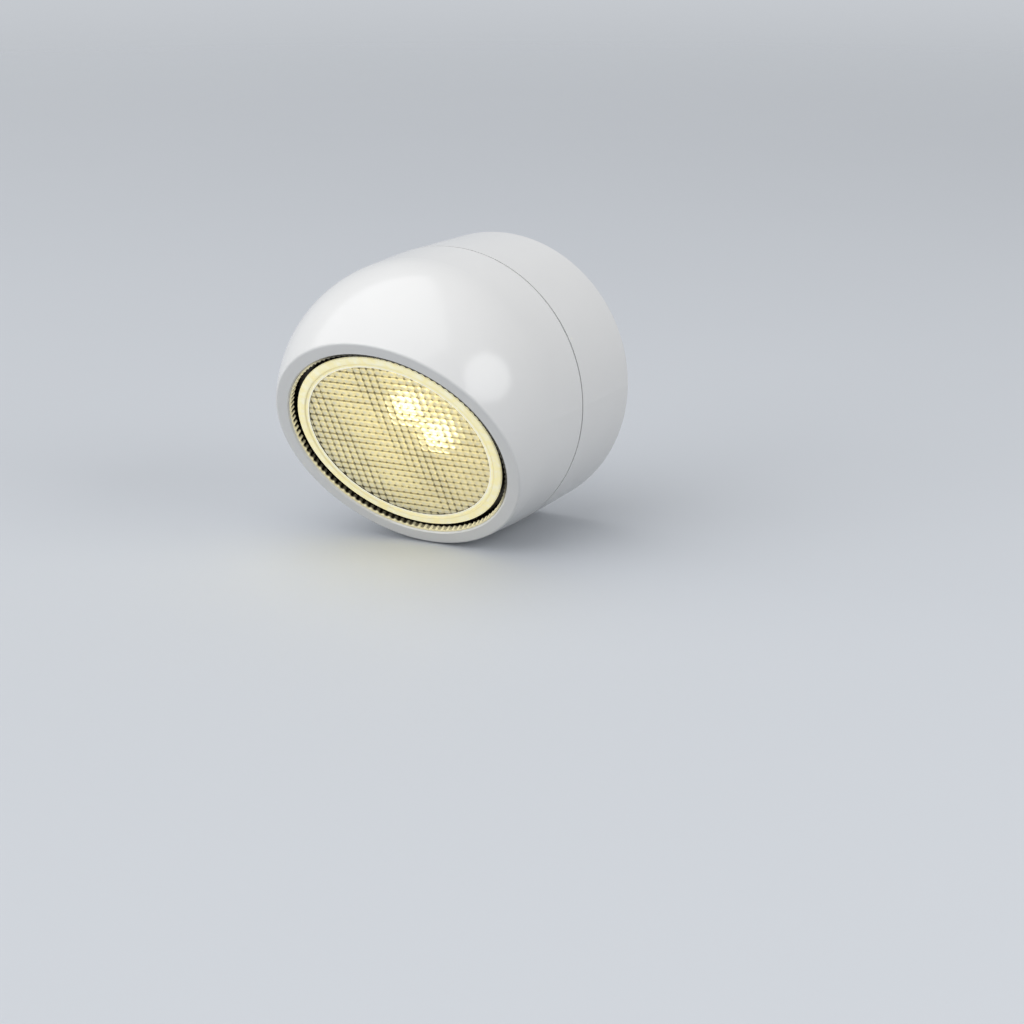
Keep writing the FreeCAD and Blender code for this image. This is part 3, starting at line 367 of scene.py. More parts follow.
@dataclass(frozen=True)
class Metal:
    """Metal strip or turned metal: fine lines from rolling, and a duller bloom in places."""

    name: str
    colour: Colour
    tarnish: Colour
    roughness: float = 0.25
    tarnish_share: float = 0.35
    tarnish_gloss: float = 0.18
    bloom_size: float = 3.5
    bloom_span: Span = (0.45, 0.75)
    line_size: float = 0.06
    line_stretch: float = 25.0
    line_gloss: float = 0.14
    line_depth: float = 0.0012

    def material(self) -> bpy.types.Material:
        """The finish as a material."""
        graph = Graph.of_material(self.name)
        place = graph.place()
        across, along, up = graph.split(place)
        stretched = graph.join(across, along * (1.0 / self.line_stretch), up)
        lines = graph.noise(stretched, self.line_size, 2.0, 0.7)
        bloom = graph.noise(place, self.bloom_size, 4.0, 0.6).step(*self.bloom_span)
        return graph.surface(
            Base_Color=graph.mix(bloom * self.tarnish_share, self.colour, self.tarnish),
            Metallic=1.0,
            Roughness=bloom * self.tarnish_gloss + (lines - 0.5) * self.line_gloss + self.roughness,
            Normal=graph.bump(lines, self.line_depth),
        )


@dataclass(frozen=True)
class Laminate:
    """A coated circuit board: the weave of the glass cloth shows faintly, and tracks stand under the coat."""

    name: str
    coat: Colour
    track: Colour
    roughness: float = 0.32
    coat_gloss: float = 0.12
    coat_size: float = 0.8
    coat_weight: float = 0.3
    thread: float = 0.42
    thread_share: float = 0.3
    track_size: float = 2.6
    track_edge: Span = (0.55, 0.57)
    track_share: float = 0.8
    relief: float = 0.02

    def material(self) -> bpy.types.Material:
        """The finish as a material."""
        graph = Graph.of_material(self.name)
        place = graph.place()
        across, _, up = graph.split(place)
        weave = across.distance_to_line(self.thread) + up.distance_to_line(self.thread)
        tracks = graph.noise(place, self.track_size, 0.0).step(*self.track_edge)
        height = weave * (self.thread_share / self.thread) + tracks * (1.0 - self.thread_share)
        return graph.surface(
            Base_Color=graph.mix(tracks * self.track_share, self.coat, self.track),
            Roughness=self.roughness + self.coat_gloss * graph.noise(place, self.coat_size),
            Coat_Weight=self.coat_weight,
            Normal=graph.bump(height, self.relief),
        )


@dataclass(frozen=True)
class Speckled:
    """A cast or dipped coat on a component: fine specks and a soft, uneven skin."""

    name: str
    colour: Colour
    speck: Colour
    roughness: float = 0.45
    speck_size: float = 0.09
    speck_span: Span = (0.58, 0.68)
    speck_share: float = 0.25
    skin_size: float = 0.5
    skin_gloss: float = 0.2
    skin_depth: float = 0.01

    def material(self) -> bpy.types.Material:
        """The finish as a material."""
        graph = Graph.of_material(self.name)
        place = graph.place()
        specks = graph.noise(place, self.speck_size, 2.0, 0.8).step(*self.speck_span)
        skin = graph.noise(place, self.skin_size, 3.0)
        return graph.surface(
            Base_Color=graph.mix(specks * self.speck_share, self.colour, self.speck),
            Roughness=(skin - 0.5) * self.skin_gloss + self.roughness,
            Normal=graph.bump(skin, self.skin_depth),
        )


@dataclass(frozen=True)
class LensAxis:
    """The axis that the lens, the LEDs and the reflector share: it points forwards and down."""

    ball_centre: Vector = field(default_factory=lambda: Vector((0.0, -23.5, 0.0)) * MM)
    turn: float = math.radians(90.0 + 30.0)

    @property
    def matrix(self) -> Matrix:
        """Takes millimetres along the lens axis to metres in the object's frame."""
        turned = Matrix.Translation(self.ball_centre) @ Matrix.Rotation(self.turn, 4, "X")
        return turned @ Matrix.Scale(MM, 4)

    def place(self, graph: Graph) -> Signal:
        """Millimetres across, up and along the lens axis, for a material."""
        return graph.place(self.ball_centre, self.turn)


@dataclass(frozen=True)
class Phosphor:
    """A lit LED: a white package, and above its top_edge a glowing yellow square of phosphor."""

    name: str
    axis: LensAxis
    glow: Colour = (1.0, 0.95, 0.84)
    phosphor: Colour = (0.95, 0.72, 0.25)
    package: Colour = (0.9, 0.85, 0.7)
    package_glow: float = 0.35
    strength: float = 13.0
    top_edge: Span = (3.2, 3.45)
    grain_size: float = 0.15
    roughness: float = 0.35
    grain_gloss: float = 0.2

    def material(self) -> bpy.types.Material:
        """The finish as a material."""
        graph = Graph.of_material(self.name)
        place = self.axis.place(graph)
        _, _, along = graph.split(place)
        top = along.step(*self.top_edge)
        grain = graph.noise(place, self.grain_size)
        return graph.surface(
            Base_Color=graph.mix(top, self.package, self.phosphor),
            Roughness=self.roughness + self.grain_gloss * grain,
            Emission_Color=graph.mix(top, dimmed(self.glow, self.package_glow), self.glow),
            Emission_Strength=self.strength,
        )


@dataclass(frozen=True)
class PrismPlastic:
    """The lens's clear window, glowing with painted light: warm light in each prism, a dark line where two
    prisms meet, and painted shade towards its lower right corner.

    A groove's edge is two distances from its middle in millimetres: where its mark fades out, and where it is
    full. Rows run across the window and columns up it, and a knot is where two cross. The columns show in
    leaning bands, and more faintly on the window's far side, its right. A layer is the slice of noise that is
    read.
    """

    name: str
    axis: LensAxis
    pitch: float
    # Colours of the painted glow that stands in for the LEDs' light through the window.
    lit: Colour = (1.0, 0.91, 0.54)
    bright: Colour = (1.0, 0.98, 0.8)
    line: Colour = (0.03, 0.024, 0.01)
    dash: Colour = (0.22, 0.18, 0.07)
    # Painted shade for the window's lower right corner.
    shade: Colour = (0.6, 0.54, 0.38)
    strength: float = 0.27
    clearness: float = 0.5
    roughness: float = 0.1
    haze: float = 0.1
    haze_size: float = 0.3
    cell_edge: Span = (0.16, 0.45)
    cell_light: float = 0.7
    column_edge: Span = (0.22, 0.07)
    column_stroke: Span = (0.48, 0.2)
    column_faintest: float = 0.16
    column_fade: float = 0.55
    row_edge: Span = (0.23, 0.08)
    row_shade: Span = (0.45, 0.85)
    knot_across: Span = (0.32, 0.1)
    knot_up: Span = (0.25, 0.09)
    knot_dark: float = 0.95
    knot_fade: float = 0.35
    groove_stretch: float = 0.12
    band_size: float = 4.5
    band_span: Span = (0.42, 0.6)
    band_lean: float = 0.2
    band_layer: float = 3.0
    row_rate: float = 1.3
    row_span: Span = (0.4, 0.66)
    row_layer: float = 8.0
    far_side: Span = (3.0, 9.0)
    darkest: float = 0.9
    full_dark: float = 1.25
    cloud_size: float = 7.0
    corner_way: tuple[float, float] = (0.55, -0.75)
    corner_cloud: float = 8.0
    corner_span: Span = (3.0, 15.0)
    corner_shade: float = 0.25

    def material(self) -> bpy.types.Material:
        """The finish as a material."""
        graph = Graph.of_material(self.name)
        place = self.axis.place(graph)
        across, up, _ = graph.split(place)
        beside = across.distance_to_line(self.pitch)
        above = up.distance_to_line(self.pitch)
        cell = beside.step(*self.cell_edge) * above.step(*self.cell_edge)
        # Painted shade: the window's glow dims towards its lower right corner.
        cloud = graph.noise(place, self.cloud_size)
        towards = across * self.corner_way[0] + up * self.corner_way[1] + cloud * self.corner_cloud
        corner = towards.step(*self.corner_span)
        tone = graph.mix(cell * self.cell_light, self.lit, self.bright)
        tone = graph.mix(corner * self.corner_shade, tone, self.shade)
        tone = graph.mix(self._rows(graph, across, up), tone, self.dash)
        tone = graph.mix(self._columns(graph, across, up) * self.darkest, tone, self.line)
        # The tone is painted into the base colour and also glows as emission: a painted glow standing in for
        # the LEDs' light.
        return graph.surface(
            Base_Color=tone,
            Roughness=self.roughness + self.haze * graph.noise(place, self.haze_size),
            IOR=ACRYLIC_IOR,
            Transmission_Weight=self.clearness,
            Emission_Color=tone,
            Emission_Strength=self.strength,
        )

    def _rows(self, graph: Graph, across: Signal, up: Signal) -> Signal:
        """How far the rows shade the window, each by its own tone.

        Args:
            graph: The material's graph.
            across: Millimetres across the window.
            up: Millimetres up the window.

        Returns:
            A number from 0 to 1.
        """
        stretched = graph.join(across * self.groove_stretch, up * self.row_rate, self.row_layer)
        tone = graph.noise(stretched, self.pitch, 0.0).step(*self.row_span)
        faint, full = self.row_shade
        return up.distance_to_line(self.pitch).step(*self.row_edge) * (faint + (full - faint) * tone)

    def _columns(self, graph: Graph, across: Signal, up: Signal) -> Signal:
        """How far the columns and the knots darken the window.

        Args:
            graph: The material's graph.
            across: Millimetres across the window.
            up: Millimetres up the window.

        Returns:
            A number from 0 to 1.
        """
        beside = across.distance_to_line(self.pitch)
        above = up.distance_to_line(self.pitch)
        far_side = across.step(*self.far_side)
        leaning = graph.join(across + up * self.band_lean, up * self.groove_stretch, self.band_layer)
        band = graph.noise(leaning, self.band_size, 0.0).step(*self.band_span)
        stroke = 0.5 + 0.5 * above.step(*self.column_stroke)
        weight = self.column_faintest + (1.0 - self.column_faintest) * band
        column = beside.step(*self.column_edge) * stroke * weight * (1.0 - self.column_fade * far_side)
        knot = beside.step(*self.knot_across) * above.step(*self.knot_up)
        return (column + knot * (self.knot_dark - self.knot_fade * far_side)).step(0.0, self.full_dark)


@dataclass(frozen=True)
class LipPlastic:
    """The plain lip round the prisms, with their light painted on as a glow that reaches its edge in faint
    streaks, painted shade in the crease at the step, and a painted highlight along its inner edge.

    The crease and the edge are given in millimetres outwards from the step and from the lip's inner side.
    """

    name: str
    axis: LensAxis
    inner_radius: float
    step_radius: float
    lit: Colour = (1.0, 0.89, 0.48)
    bright: Colour = (1.0, 0.97, 0.7)
    # crease is painted shade at the step, and edge is a painted highlight along the lip's inner edge.
    crease: Colour = (0.5, 0.42, 0.18)
    edge: Colour = (1.0, 0.98, 0.85)
    strength: float = 0.35
    streak_size: float = 1.4
    streak_span: Span = (0.3, 0.75)
    crease_start: Span = (-0.12, 0.0)
    crease_end: Span = (0.32, 0.14)
    edge_span: Span = (0.3, 0.05)
    edge_share: float = 0.8
    crease_shade: Span = (0.1, 0.7)
    roughness: float = 0.08
    streak_gloss: float = 0.1
    skin_depth: float = 0.01

    def material(self) -> bpy.types.Material:
        """The finish as a material."""
        graph = Graph.of_material(self.name)
        place = self.axis.place(graph)
        across, up, _ = graph.split(place)
        radius = graph.length(across, up)
        streak = graph.noise(place, self.streak_size, 3.0, 0.6)
        past_step = radius - self.step_radius
        # Painted shade in the crease at the step.
        crease = past_step.step(*self.crease_start) * past_step.step(*self.crease_end)
        # Painted highlight along the lip's inner edge.
        edge = (radius - self.inner_radius).step(*self.edge_span)
        tone = graph.mix(streak.step(*self.streak_span), self.lit, self.bright)
        faint, full = self.crease_shade
        tone = graph.mix(crease * (faint + (full - faint) * streak), tone, self.crease)
        tone = graph.mix(edge * self.edge_share, tone, self.edge)
        # The tone is painted into the base colour and also glows as emission: painted light.
        return graph.surface(
            Base_Color=tone,
            Roughness=self.roughness + self.streak_gloss * streak,
            IOR=ACRYLIC_IOR,
            Emission_Color=tone,
            Emission_Strength=self.strength,
            Normal=graph.bump(streak, self.skin_depth),
        )


@dataclass(frozen=True)
class ToothPlastic:
    """The toothed ring's plastic, with light and shade painted on: the tips glow with painted light from the
    lens, and the gaps between them are painted dark as shade.

    tip_span is in shares of a tooth's depth, and lit_span and front_span are in millimetres behind the ring's
    front. The others are in shares of the tips' radius: far_span to the right, where light is painted
    brighter, and the last two to the upper right, with shadow_span painting a shadow over the lower left and
    the last painting shade over the upper right.
    """

    name: str
    axis: LensAxis
    tip: float
    root: float
    front: float
    lit: Colour = (1.0, 0.92, 0.62)
    # Painted shade: the ring's colour where no painted light falls.
    shade_colour: Colour = (0.012, 0.01, 0.007)
    dark: Colour = (0.0, 0.0, 0.0)
    strength: float = 0.22
    tip_span: Span = (0.75, 0.2)
    lit_span: Span = (0.95, 0.75)
    front_span: Span = (0.45, 0.15)
    front_light: float = 0.8
    # Painted light: the ring's right side is painted lighter.
    far_span: Span = (-0.5, 0.25)
    far_light: float = 0.55
    # Painted shadow over the ring's lower left.
    shadow_span: Span = (-1.0, -1.25)
    shadow_share: float = 0.9
    # Painted shade over the ring's upper right.
    upper_right_shade_span: Span = (0.1, 0.7)
    upper_right_shade_share: float = 0.95
    roughness: float = 0.12
    grain_size: float = 0.25
    grain_gloss: float = 0.15
    grain_depth: float = 0.008

    def material(self) -> bpy.types.Material:
        """The finish as a material."""
        graph = Graph.of_material(self.name)
        place = self.axis.place(graph)
        light = self._light(graph, place)
        grain = graph.noise(place, self.grain_size)
        # Both the base colour and the emission carry the painted light and shade.
        return graph.surface(
            Base_Color=graph.mix(light, self.shade_colour, self.lit),
            Roughness=self.roughness + self.grain_gloss * grain,
            IOR=ACRYLIC_IOR,
            Emission_Color=graph.mix(light, self.dark, self.lit),
            Emission_Strength=self.strength,
            Normal=graph.bump(grain, self.grain_depth),
        )

    def _light(self, graph: Graph, place: Signal) -> Signal:
        """How much painted light the ring gets from the lens, less its painted shadow and shade.

        Args:
            graph: The material's graph.
            place: Millimetres across, up and along the lens axis.

        Returns:
            A number from 0 to 1.
        """
        across, up, along = graph.split(place)
        tooth_depth = (graph.length(across, up) - self.tip) * (1.0 / (self.root - self.tip))
        behind = self.front - along
        near_front = behind.step(*self.front_span)
        far_side = (across * (1.0 / self.tip)).step(*self.far_span)
        upper_right = (across + up) * (1.0 / self.tip)
        # Painted shadow over the lower left, and painted shade over the upper right.
        shadow = upper_right.step(*self.shadow_span)
        upper_right_shade = upper_right.step(*self.upper_right_shade_span)
        ridge = tooth_depth.step(*self.tip_span)
        shine = ridge.largest(near_front * self.front_light).largest(far_side * self.far_light)
        shine = shine * (1.0 - self.shadow_share * shadow * (1.0 - near_front))
        return behind.step(*self.lit_span) * shine * (1.0 - self.upper_right_shade_share * upper_right_shade)


# --------------------------------------------------------------------------------------------------
# Modelling
# --------------------------------------------------------------------------------------------------


class Model:
    """A mesh on its way to being a piece, measured in millimetres about an axis of its own.

    Two radii or places count as one within NEAR, and two corners within MERGE. An edge is sharp past SHARP.
    """

    NEAR: float = 1e-3
    MERGE: float = 1e-5
    SHARP: float = math.radians(38.0)
    LATHE_STEPS: int = 128

    def __init__(self, name: str, matrix: Matrix) -> None:
        """Starts an empty mesh.

        Args:
            name: The piece's name.
            matrix: Takes the mesh's own millimetres to metres in the object's frame.
        """
        self.name = name
        self.matrix = matrix
        self.mesh = bmesh.new()

    def lathe(self, profile: Sequence[tuple[float, float]]) -> None:
        """Turns a closed outline about the axis.

        Args:
            profile: Its corners as (radius, place along the axis), in order round it.
        """
        corners = [self.mesh.verts.new((radius, 0.0, along)) for radius, along in profile]
        edges = [self.mesh.edges.new(pair) for pair in zip(corners, corners[1:] + corners[:1])]
        bmesh.ops.spin(
            self.mesh, geom=corners + edges, cent=(0, 0, 0), axis=(0, 0, 1),
            angle=FULL_TURN, steps=self.LATHE_STEPS, use_merge=True,
        )

    def draw_out(
        self, edges: Sequence[bmesh.types.BMEdge], radius: float, height: float
    ) -> list[bmesh.types.BMEdge]:
        """Draws a loop of edges out to a radius and a height.

        Args:
            edges: The loop.
            radius: The new loop's radius.
            height: The new loop's place along the axis.

        Returns:
            The new loop.
        """
        drawn = bmesh.ops.extrude_edge_only(self.mesh, edges=edges)["geom"]
        for item in drawn:
            if isinstance(item, bmesh.types.BMVert):
                item.co.xy *= radius / math.hypot(item.co.x, item.co.y)
                item.co.z = height
        return [item for item in drawn if isinstance(item, bmesh.types.BMEdge)]

    def soften(self, rings: Sequence[tuple[float, float]], width: float, segments: int) -> None:
        """Rounds the edges that run round the axis at the given corners.

        Args:
            rings: The corners as (radius, place along the axis).
            width: How far the rounding reaches from each edge.
            segments: The number of steps across it.
        """

        def on_ring(vertex: bmesh.types.BMVert, ring: tuple[float, float]) -> bool:
            """Whether a vertex lies on a ring."""
            radius = math.hypot(vertex.co.x, vertex.co.y)
            return abs(radius - ring[0]) < self.NEAR and abs(vertex.co.z - ring[1]) < self.NEAR

        edges = [
            edge for edge in self.mesh.edges
            if any(on_ring(edge.verts[0], ring) and on_ring(edge.verts[1], ring) for ring in rings)
        ]
        bmesh.ops.bevel(
            self.mesh, geom=edges, offset=width, offset_type="OFFSET", segments=segments,
            affect="EDGES", profile=0.5, material=-1, clamp_overlap=True,
        )

    def finish(
        self, body: Body, materials: Sequence[bpy.types.Material], slot: str, stands_for: Sequence[str]
    ) -> None:
        """Makes the mesh a piece of the object.

        Args:
            body: The body that it rides on.
            materials: Its finishes, in the order of the faces' material numbers.
            slot: The record's material slot; not used.
            stands_for: The frame's nodes that it replaces.
        """
        bmesh.ops.remove_doubles(self.mesh, verts=self.mesh.verts, dist=self.MERGE)
        bmesh.ops.recalc_face_normals(self.mesh, faces=self.mesh.faces)
        self.mesh.transform(self.matrix)
        data = bpy.data.meshes.new(self.name)
        self.mesh.to_mesh(data)
        self.mesh.free()
        for material in materials:
            data.materials.append(material)
        data.shade_smooth()
        data.set_sharp_from_angle(angle=self.SHARP)
        piece = bpy.data.objects.new(self.name, data)
        bpy.context.scene.collection.objects.link(piece)
        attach(piece, body.value)
        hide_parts(*stands_for)
        LOG.info("%s: %d faces", self.name, len(data.polygons))


class LensSkin(Enum):
    """The lens's finishes, by the material number of their faces."""

    PRISMS = 0
    LIP = 1
    SKIRT = 2


@dataclass
class Lens:
    """The ribbed lens and the toothed ring round it. Heights are along the lens axis, in millimetres."""

    axis: LensAxis
    face_radius: float = 15.5
    face_height: float = 8.3
    window_radius: float = 13.7
    step_radius: float = 14.2
    step_depth: float = 0.12
    wall: float = 1.2
    window_wall: float = 1.3
    flange_radius: float = 16.35
    flange_back: float = 5.9
    flange_front: float = 6.7
    edge_round: float = 0.25
    edge_segments: int = 4
    pitch: float = 1.11
    prism_sunk: float = 0.2
    prism_rise: float = 0.12
    prism_slope: float = 0.3
    rim_cuts: int = 96
    # The skirt is painted near black: painted shade in the gap between the lens and the bore.
    skirt_shade_colour: Colour = (0.015, 0.013, 0.01)
    teeth: int = 108
    ring_radius: float = 16.44
    tooth_tip: float = 16.14
    tooth_root: float = 16.38
    ring_front: float = 8.75

    def build(self) -> None:
        """Models and dresses both pieces."""
        self._lens()
        self._ring()

    def _lens(self) -> None:
        """Models the lens: a cup with a plain lip, and a window of prisms inside the lip."""
        model = Model("ribbed_lens", self.axis.matrix)
        self._window(model)
        window_faces = set(model.mesh.faces)
        back = self.face_height - self.window_wall
        bore = self.face_radius - self.wall
        step_height = self.face_height - self.step_depth
        model.lathe((
            (self.window_radius, back),
            (self.window_radius, step_height),
            (self.step_radius, step_height),
            (self.step_radius + self.step_depth, self.face_height),
            (self.face_radius, self.face_height),
            (self.face_radius, self.flange_front),
            (self.flange_radius, self.flange_front),
            (self.flange_radius, self.flange_back),
            (bore, self.flange_back),
            (bore, back),
        ))
        model.soften(((self.face_radius, self.face_height),), self.edge_round, self.edge_segments)
        for face in model.mesh.faces:
            if face not in window_faces:
                on_lip = face.calc_center_median().z > self.face_height - self.edge_round
                face.material_index = (LensSkin.LIP if on_lip else LensSkin.SKIRT).value
        finishes = {
            LensSkin.PRISMS: PrismPlastic("lens_prisms", self.axis, self.pitch),
            LensSkin.LIP: LipPlastic("lens_lip", self.axis, self.window_radius, self.step_radius),
            # The skirt's near-black colour is painted shade.
            LensSkin.SKIRT: Plastic("lens_skirt", self.skirt_shade_colour, roughness=0.4),
        }
        model.finish(Body.HEAD, [finishes[skin].material() for skin in LensSkin], "lens_plastic", ["lens"])

    def _window(self, model: Model) -> None:
        """Models the window: a round slab with a grid of prisms on its face.

        Args:
            model: The empty lens.
        """
        cells = 2 * math.ceil(self.face_radius / self.pitch)
        seat = self.face_height - self.prism_sunk - self.prism_rise
        bmesh.ops.create_grid(
            model.mesh, x_segments=cells, y_segments=cells, size=cells * self.pitch / 2,
            matrix=Matrix.Translation((0, 0, seat)),
        )
        bmesh.ops.inset_individual(
            model.mesh, faces=model.mesh.faces[:], thickness=self.pitch * self.prism_slope,
            depth=self.prism_rise, use_even_offset=True,
        )
        for cut in range(self.rim_cuts):
            angle = FULL_TURN * cut / self.rim_cuts
            outward = Vector((math.cos(angle), math.sin(angle), 0.0))
            bmesh.ops.bisect_plane(
                model.mesh, geom=model.mesh.verts[:] + model.mesh.edges[:] + model.mesh.faces[:],
                dist=Model.MERGE, plane_co=outward * self.window_radius, plane_no=outward, clear_outer=True,
            )
        border = [edge for edge in model.mesh.edges if edge.is_boundary]
        drawn = bmesh.ops.extrude_edge_only(model.mesh, edges=border)["geom"]
        for item in drawn:
            if isinstance(item, bmesh.types.BMVert):
                item.co.z = self.face_height - self.window_wall
        rim = [item for item in drawn if isinstance(item, bmesh.types.BMEdge) and item.is_boundary]
        bmesh.ops.contextual_create(model.mesh, geom=rim)

    def _ring(self) -> None:
        """Models the ring: a band with a tooth for each step round its bore."""
        model = Model("toothed_ring", self.axis.matrix)
        circle = bmesh.ops.create_circle(
            model.mesh, segments=2 * self.teeth, radius=self.tooth_root, cap_ends=False,
            matrix=Matrix.Translation((0, 0, self.flange_front)),
        )
        first = list({edge for vertex in circle["verts"] for edge in vertex.link_edges})
        bore_front = model.draw_out(first, self.tooth_root, self.ring_front)
        band_front = model.draw_out(bore_front, self.ring_radius, self.ring_front)
        band_back = model.draw_out(band_front, self.ring_radius, self.flange_front)
        bmesh.ops.bridge_loops(model.mesh, edges=band_back + first)
        step_angle = FULL_TURN / (2 * self.teeth)
        for vertex in model.mesh.verts:
            radius = math.hypot(vertex.co.x, vertex.co.y)
            step = round(math.atan2(vertex.co.y, vertex.co.x) / step_angle)
            if step % 2 and radius < self.ring_radius - Model.NEAR:
                vertex.co.xy *= self.tooth_tip / radius
        finish = ToothPlastic("ring_plastic", self.axis, self.tooth_tip, self.tooth_root, self.ring_front)
        model.finish(Body.HEAD, [finish.material()], "ring_plastic", ["lens_ring"])


# --------------------------------------------------------------------------------------------------
# Studio
# --------------------------------------------------------------------------------------------------


class LampShape(Enum):
    """The outline of a soft box."""

    ELLIPSE = "ELLIPSE"
    RECTANGLE = "RECTANGLE"

    @property
    def fill(self) -> float:
        """The share of its width times its height that the outline fills."""
        return math.pi / 4 if self is LampShape.ELLIPSE else 1.0


@dataclass(frozen=True)
class Lamp:
    """A soft box, with its place and sides in metres. Its face is white at a radiance of 1."""

    name: str
    place: tuple[float, float, float]
    width: float
    height: float
    radiance: float
    shape: LampShape

    def hang(self, aim: Vector) -> None:
        """Hangs the lamp, turned to a place.

        Args:
            aim: The place, in metres.
        """
        light = bpy.data.lights.new(self.name, "AREA")
        light.shape = self.shape.value
        light.size = self.width
        light.size_y = self.height
        light.energy = self.radiance * math.pi * self.width * self.height * self.shape.fill
        holder = bpy.data.objects.new(self.name, light)
        holder.location = self.place
        holder.rotation_euler = (aim - Vector(self.place)).to_track_quat("-Z", "Y").to_euler()
        bpy.context.scene.collection.objects.link(holder)


@dataclass
class Studio:
    """A pale floor, soft lamps and the camera at the photograph's angle.

    The floor fades out between the two radii of floor_fade, and its cloud is in millimetres as they are.
    """

    floor_height: float = -20.76 * MM
    floor_half: float = 3.0
    floor_colour: Colour = (0.66, 0.69, 0.73)
    floor_bounce: Colour = (0.34, 0.36, 0.385)
    floor_fade: Span = (900.0, 250.0)
    floor_cloud: float = 60.0
    floor_mottle: float = 0.02
    floor_roughness: float = 0.7
    world_colour: Colour = (0.96, 0.97, 1.0)
    world_strength: float = 0.28
    backdrop_colour: Colour = (0.56, 0.585, 0.62)
    lamps: tuple[Lamp, ...] = (
        Lamp("side_box", (0.555, -0.063, 0.26), 0.43, 0.36, 3.1, LampShape.ELLIPSE),
        Lamp("key_box", (-0.36, -0.35, 0.85), 1.9, 1.8, 1.01, LampShape.RECTANGLE),
        Lamp("front_box", (-0.35, -0.76, 0.14), 0.7, 0.7, 1.45, LampShape.RECTANGLE),
    )
    aim: Vector = field(default_factory=lambda: Vector((0.0, -20.0, 0.0)) * MM)
    eye: Vector = field(default_factory=lambda: Vector((179.66, -337.49, 86.92)) * MM)
    azimuth: float = math.radians(27.84)
    elevation: float = math.radians(15.86)
    roll: float = math.radians(-0.13)
    focal_length: float = 93.9
    sensor_width: float = 36.0
    clip_start: float = 0.01

    def build(self) -> None:
        """Sets up everything round the object."""
        self._floor()
        self._world()
        for lamp in self.lamps:
            lamp.hang(self.aim)
        self._camera()

    def _floor(self) -> None:
        """Lays a plain pale floor under the object, which fades into the backdrop."""
        mesh = bmesh.new()
        bmesh.ops.create_grid(mesh, x_segments=2, y_segments=2, size=self.floor_half)
        bmesh.ops.translate(mesh, verts=mesh.verts, vec=(0, 0, self.floor_height))
        data = bpy.data.meshes.new("floor")
        mesh.to_mesh(data)
        mesh.free()
        data.materials.append(self._floor_paint())
        floor = bpy.data.objects.new("floor", data)
        bpy.context.scene.collection.objects.link(floor)

    def _floor_paint(self) -> bpy.types.Material:
        """The floor's finish: one colour for the eye, and a dimmer one for the light that it throws back."""
        graph = Graph.of_material("floor_paint")
        place = graph.place()
        across, along, _ = graph.split(place)
        darker = dimmed(self.floor_colour, 1.0 - self.floor_mottle)
        tone = graph.mix(graph.noise(place, self.floor_cloud, 3.0), darker, self.floor_colour)
        return graph.surface(
            Base_Color=graph.mix(graph.seen(), self.floor_bounce, tone),
            Roughness=self.floor_roughness,
            Alpha=graph.length(across, along).step(*self.floor_fade),
        )

    def _world(self) -> None:
        """Surrounds the object with plain pale light."""
        graph = Graph(bpy.data.worlds.new("studio"))
        seen = graph.seen()
        colour = graph.mix(seen, self.world_colour, self.backdrop_colour)
        strength = seen * (1.0 - self.world_strength) + self.world_strength
        values = {"Color": colour, "Strength": strength}
        graph.close("ShaderNodeOutputWorld", graph.node("ShaderNodeBackground", inputs=values))
        bpy.context.scene.world = graph.owner

    def _camera(self) -> None:
        """Places the camera where the photograph was taken from."""
        camera = bpy.data.cameras.new("camera")
        camera.lens = self.focal_length
        camera.sensor_width = self.sensor_width
        camera.clip_start = self.clip_start
        holder = bpy.data.objects.new("camera", camera)
        holder.matrix_world = (
            Matrix.Translation(self.eye)
            @ Matrix.Rotation(self.azimuth, 4, "Z")
            @ Matrix.Rotation(math.pi / 2 - self.elevation, 4, "X")
            @ Matrix.Rotation(self.roll, 4, "Z")
        )
        bpy.context.scene.collection.objects.link(holder)
        bpy.context.scene.camera = holder
        bpy.context.scene.view_settings.view_transform = "Standard"


# --------------------------------------------------------------------------------------------------
# The object
# --------------------------------------------------------------------------------------------------


Finish = Union[Plastic, Metal, Laminate, Speckled, Phosphor]


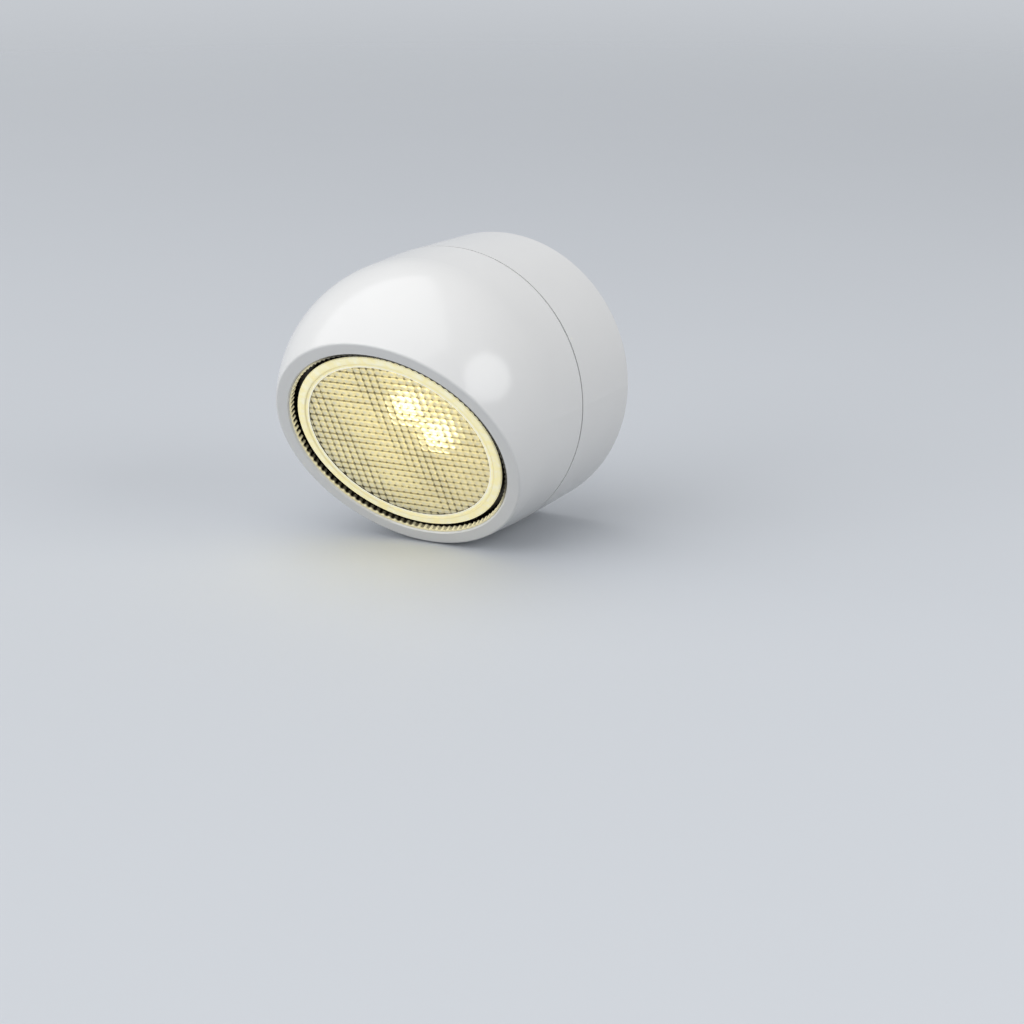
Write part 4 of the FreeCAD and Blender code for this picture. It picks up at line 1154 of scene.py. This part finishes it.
@dataclass
class Works:
    """The frame's own pieces, each dressed in the finish of its material slot."""

    axis: LensAxis

    def finishes(self) -> dict[str, Finish]:
        """The finish of each slot of the record."""
        return {
            "shell_plastic": Plastic("shell_plastic", (0.88, 0.88, 0.87), roughness=0.17, matt_face=0.0),
            "inner_plastic": Plastic("inner_plastic", (0.8, 0.8, 0.78), roughness=0.42, grain_depth=0.004),
            "reflector_plastic": Plastic("reflector_plastic", (0.88, 0.84, 0.72), roughness=0.25),
            "blade_metal": Metal("blade_metal", (0.86, 0.84, 0.78), (0.62, 0.56, 0.44), roughness=0.22),
            "contact_brass": Metal("contact_brass", (0.8, 0.6, 0.28), (0.5, 0.32, 0.14), roughness=0.24),
            "spring_bronze": Metal("spring_bronze", (0.75, 0.47, 0.25), (0.42, 0.24, 0.13), roughness=0.27),
            "steel": Metal("steel", (0.62, 0.62, 0.61), (0.4, 0.39, 0.36), roughness=0.3),
            "board_laminate": Laminate("board_laminate", (0.02, 0.12, 0.045), (0.035, 0.2, 0.07)),
            "led_board_white": Laminate("led_board_white", (0.82, 0.82, 0.78), (0.7, 0.69, 0.62)),
            "film_case": Speckled("film_case", (0.68, 0.4, 0.02), (0.55, 0.3, 0.02), roughness=0.4),
            "can_sleeve": Speckled("can_sleeve", (0.012, 0.015, 0.035), (0.03, 0.035, 0.06), roughness=0.25),
            "black_epoxy": Speckled("black_epoxy", (0.02, 0.02, 0.021), (0.08, 0.08, 0.08), roughness=0.55),
            "resistor_coat": Speckled("resistor_coat", (0.5, 0.34, 0.16), (0.6, 0.44, 0.24), roughness=0.4),
            "red_insulation": Plastic("red_insulation", (0.45, 0.02, 0.015), roughness=0.35),
            "black_insulation": Plastic("black_insulation", (0.02, 0.02, 0.02), roughness=0.35),
            "led_phosphor": Phosphor("led_phosphor", self.axis),
        }

    def build(self) -> None:
        """Dresses every node that still shows."""
        finishes = self.finishes()
        made: dict[str, bpy.types.Material] = {}
        for part in frame["record"]["subparts"]:
            node, slot = frame["nodes"][part["node"]], part["material_slot"]
            if node.hide_render:
                continue
            if slot not in made:
                made[slot] = finishes[slot].material()
            for holder in node.material_slots:
                holder.material = made[slot]
            LOG.info("%s: %s", part["node"], slot)


def main() -> None:
    """Builds the object, then the studio round it."""
    logging.basicConfig(level=logging.INFO, format="%(name)s %(message)s")
    # The frame's own materials give up their names, which the finishes take.
    for material in list(bpy.data.materials):
        material.name = "packed_" + material.name
    axis = LensAxis()
    Lens(axis).build()
    Works(axis).build()
    Studio().build()


if __name__ == "__main__":
    main()
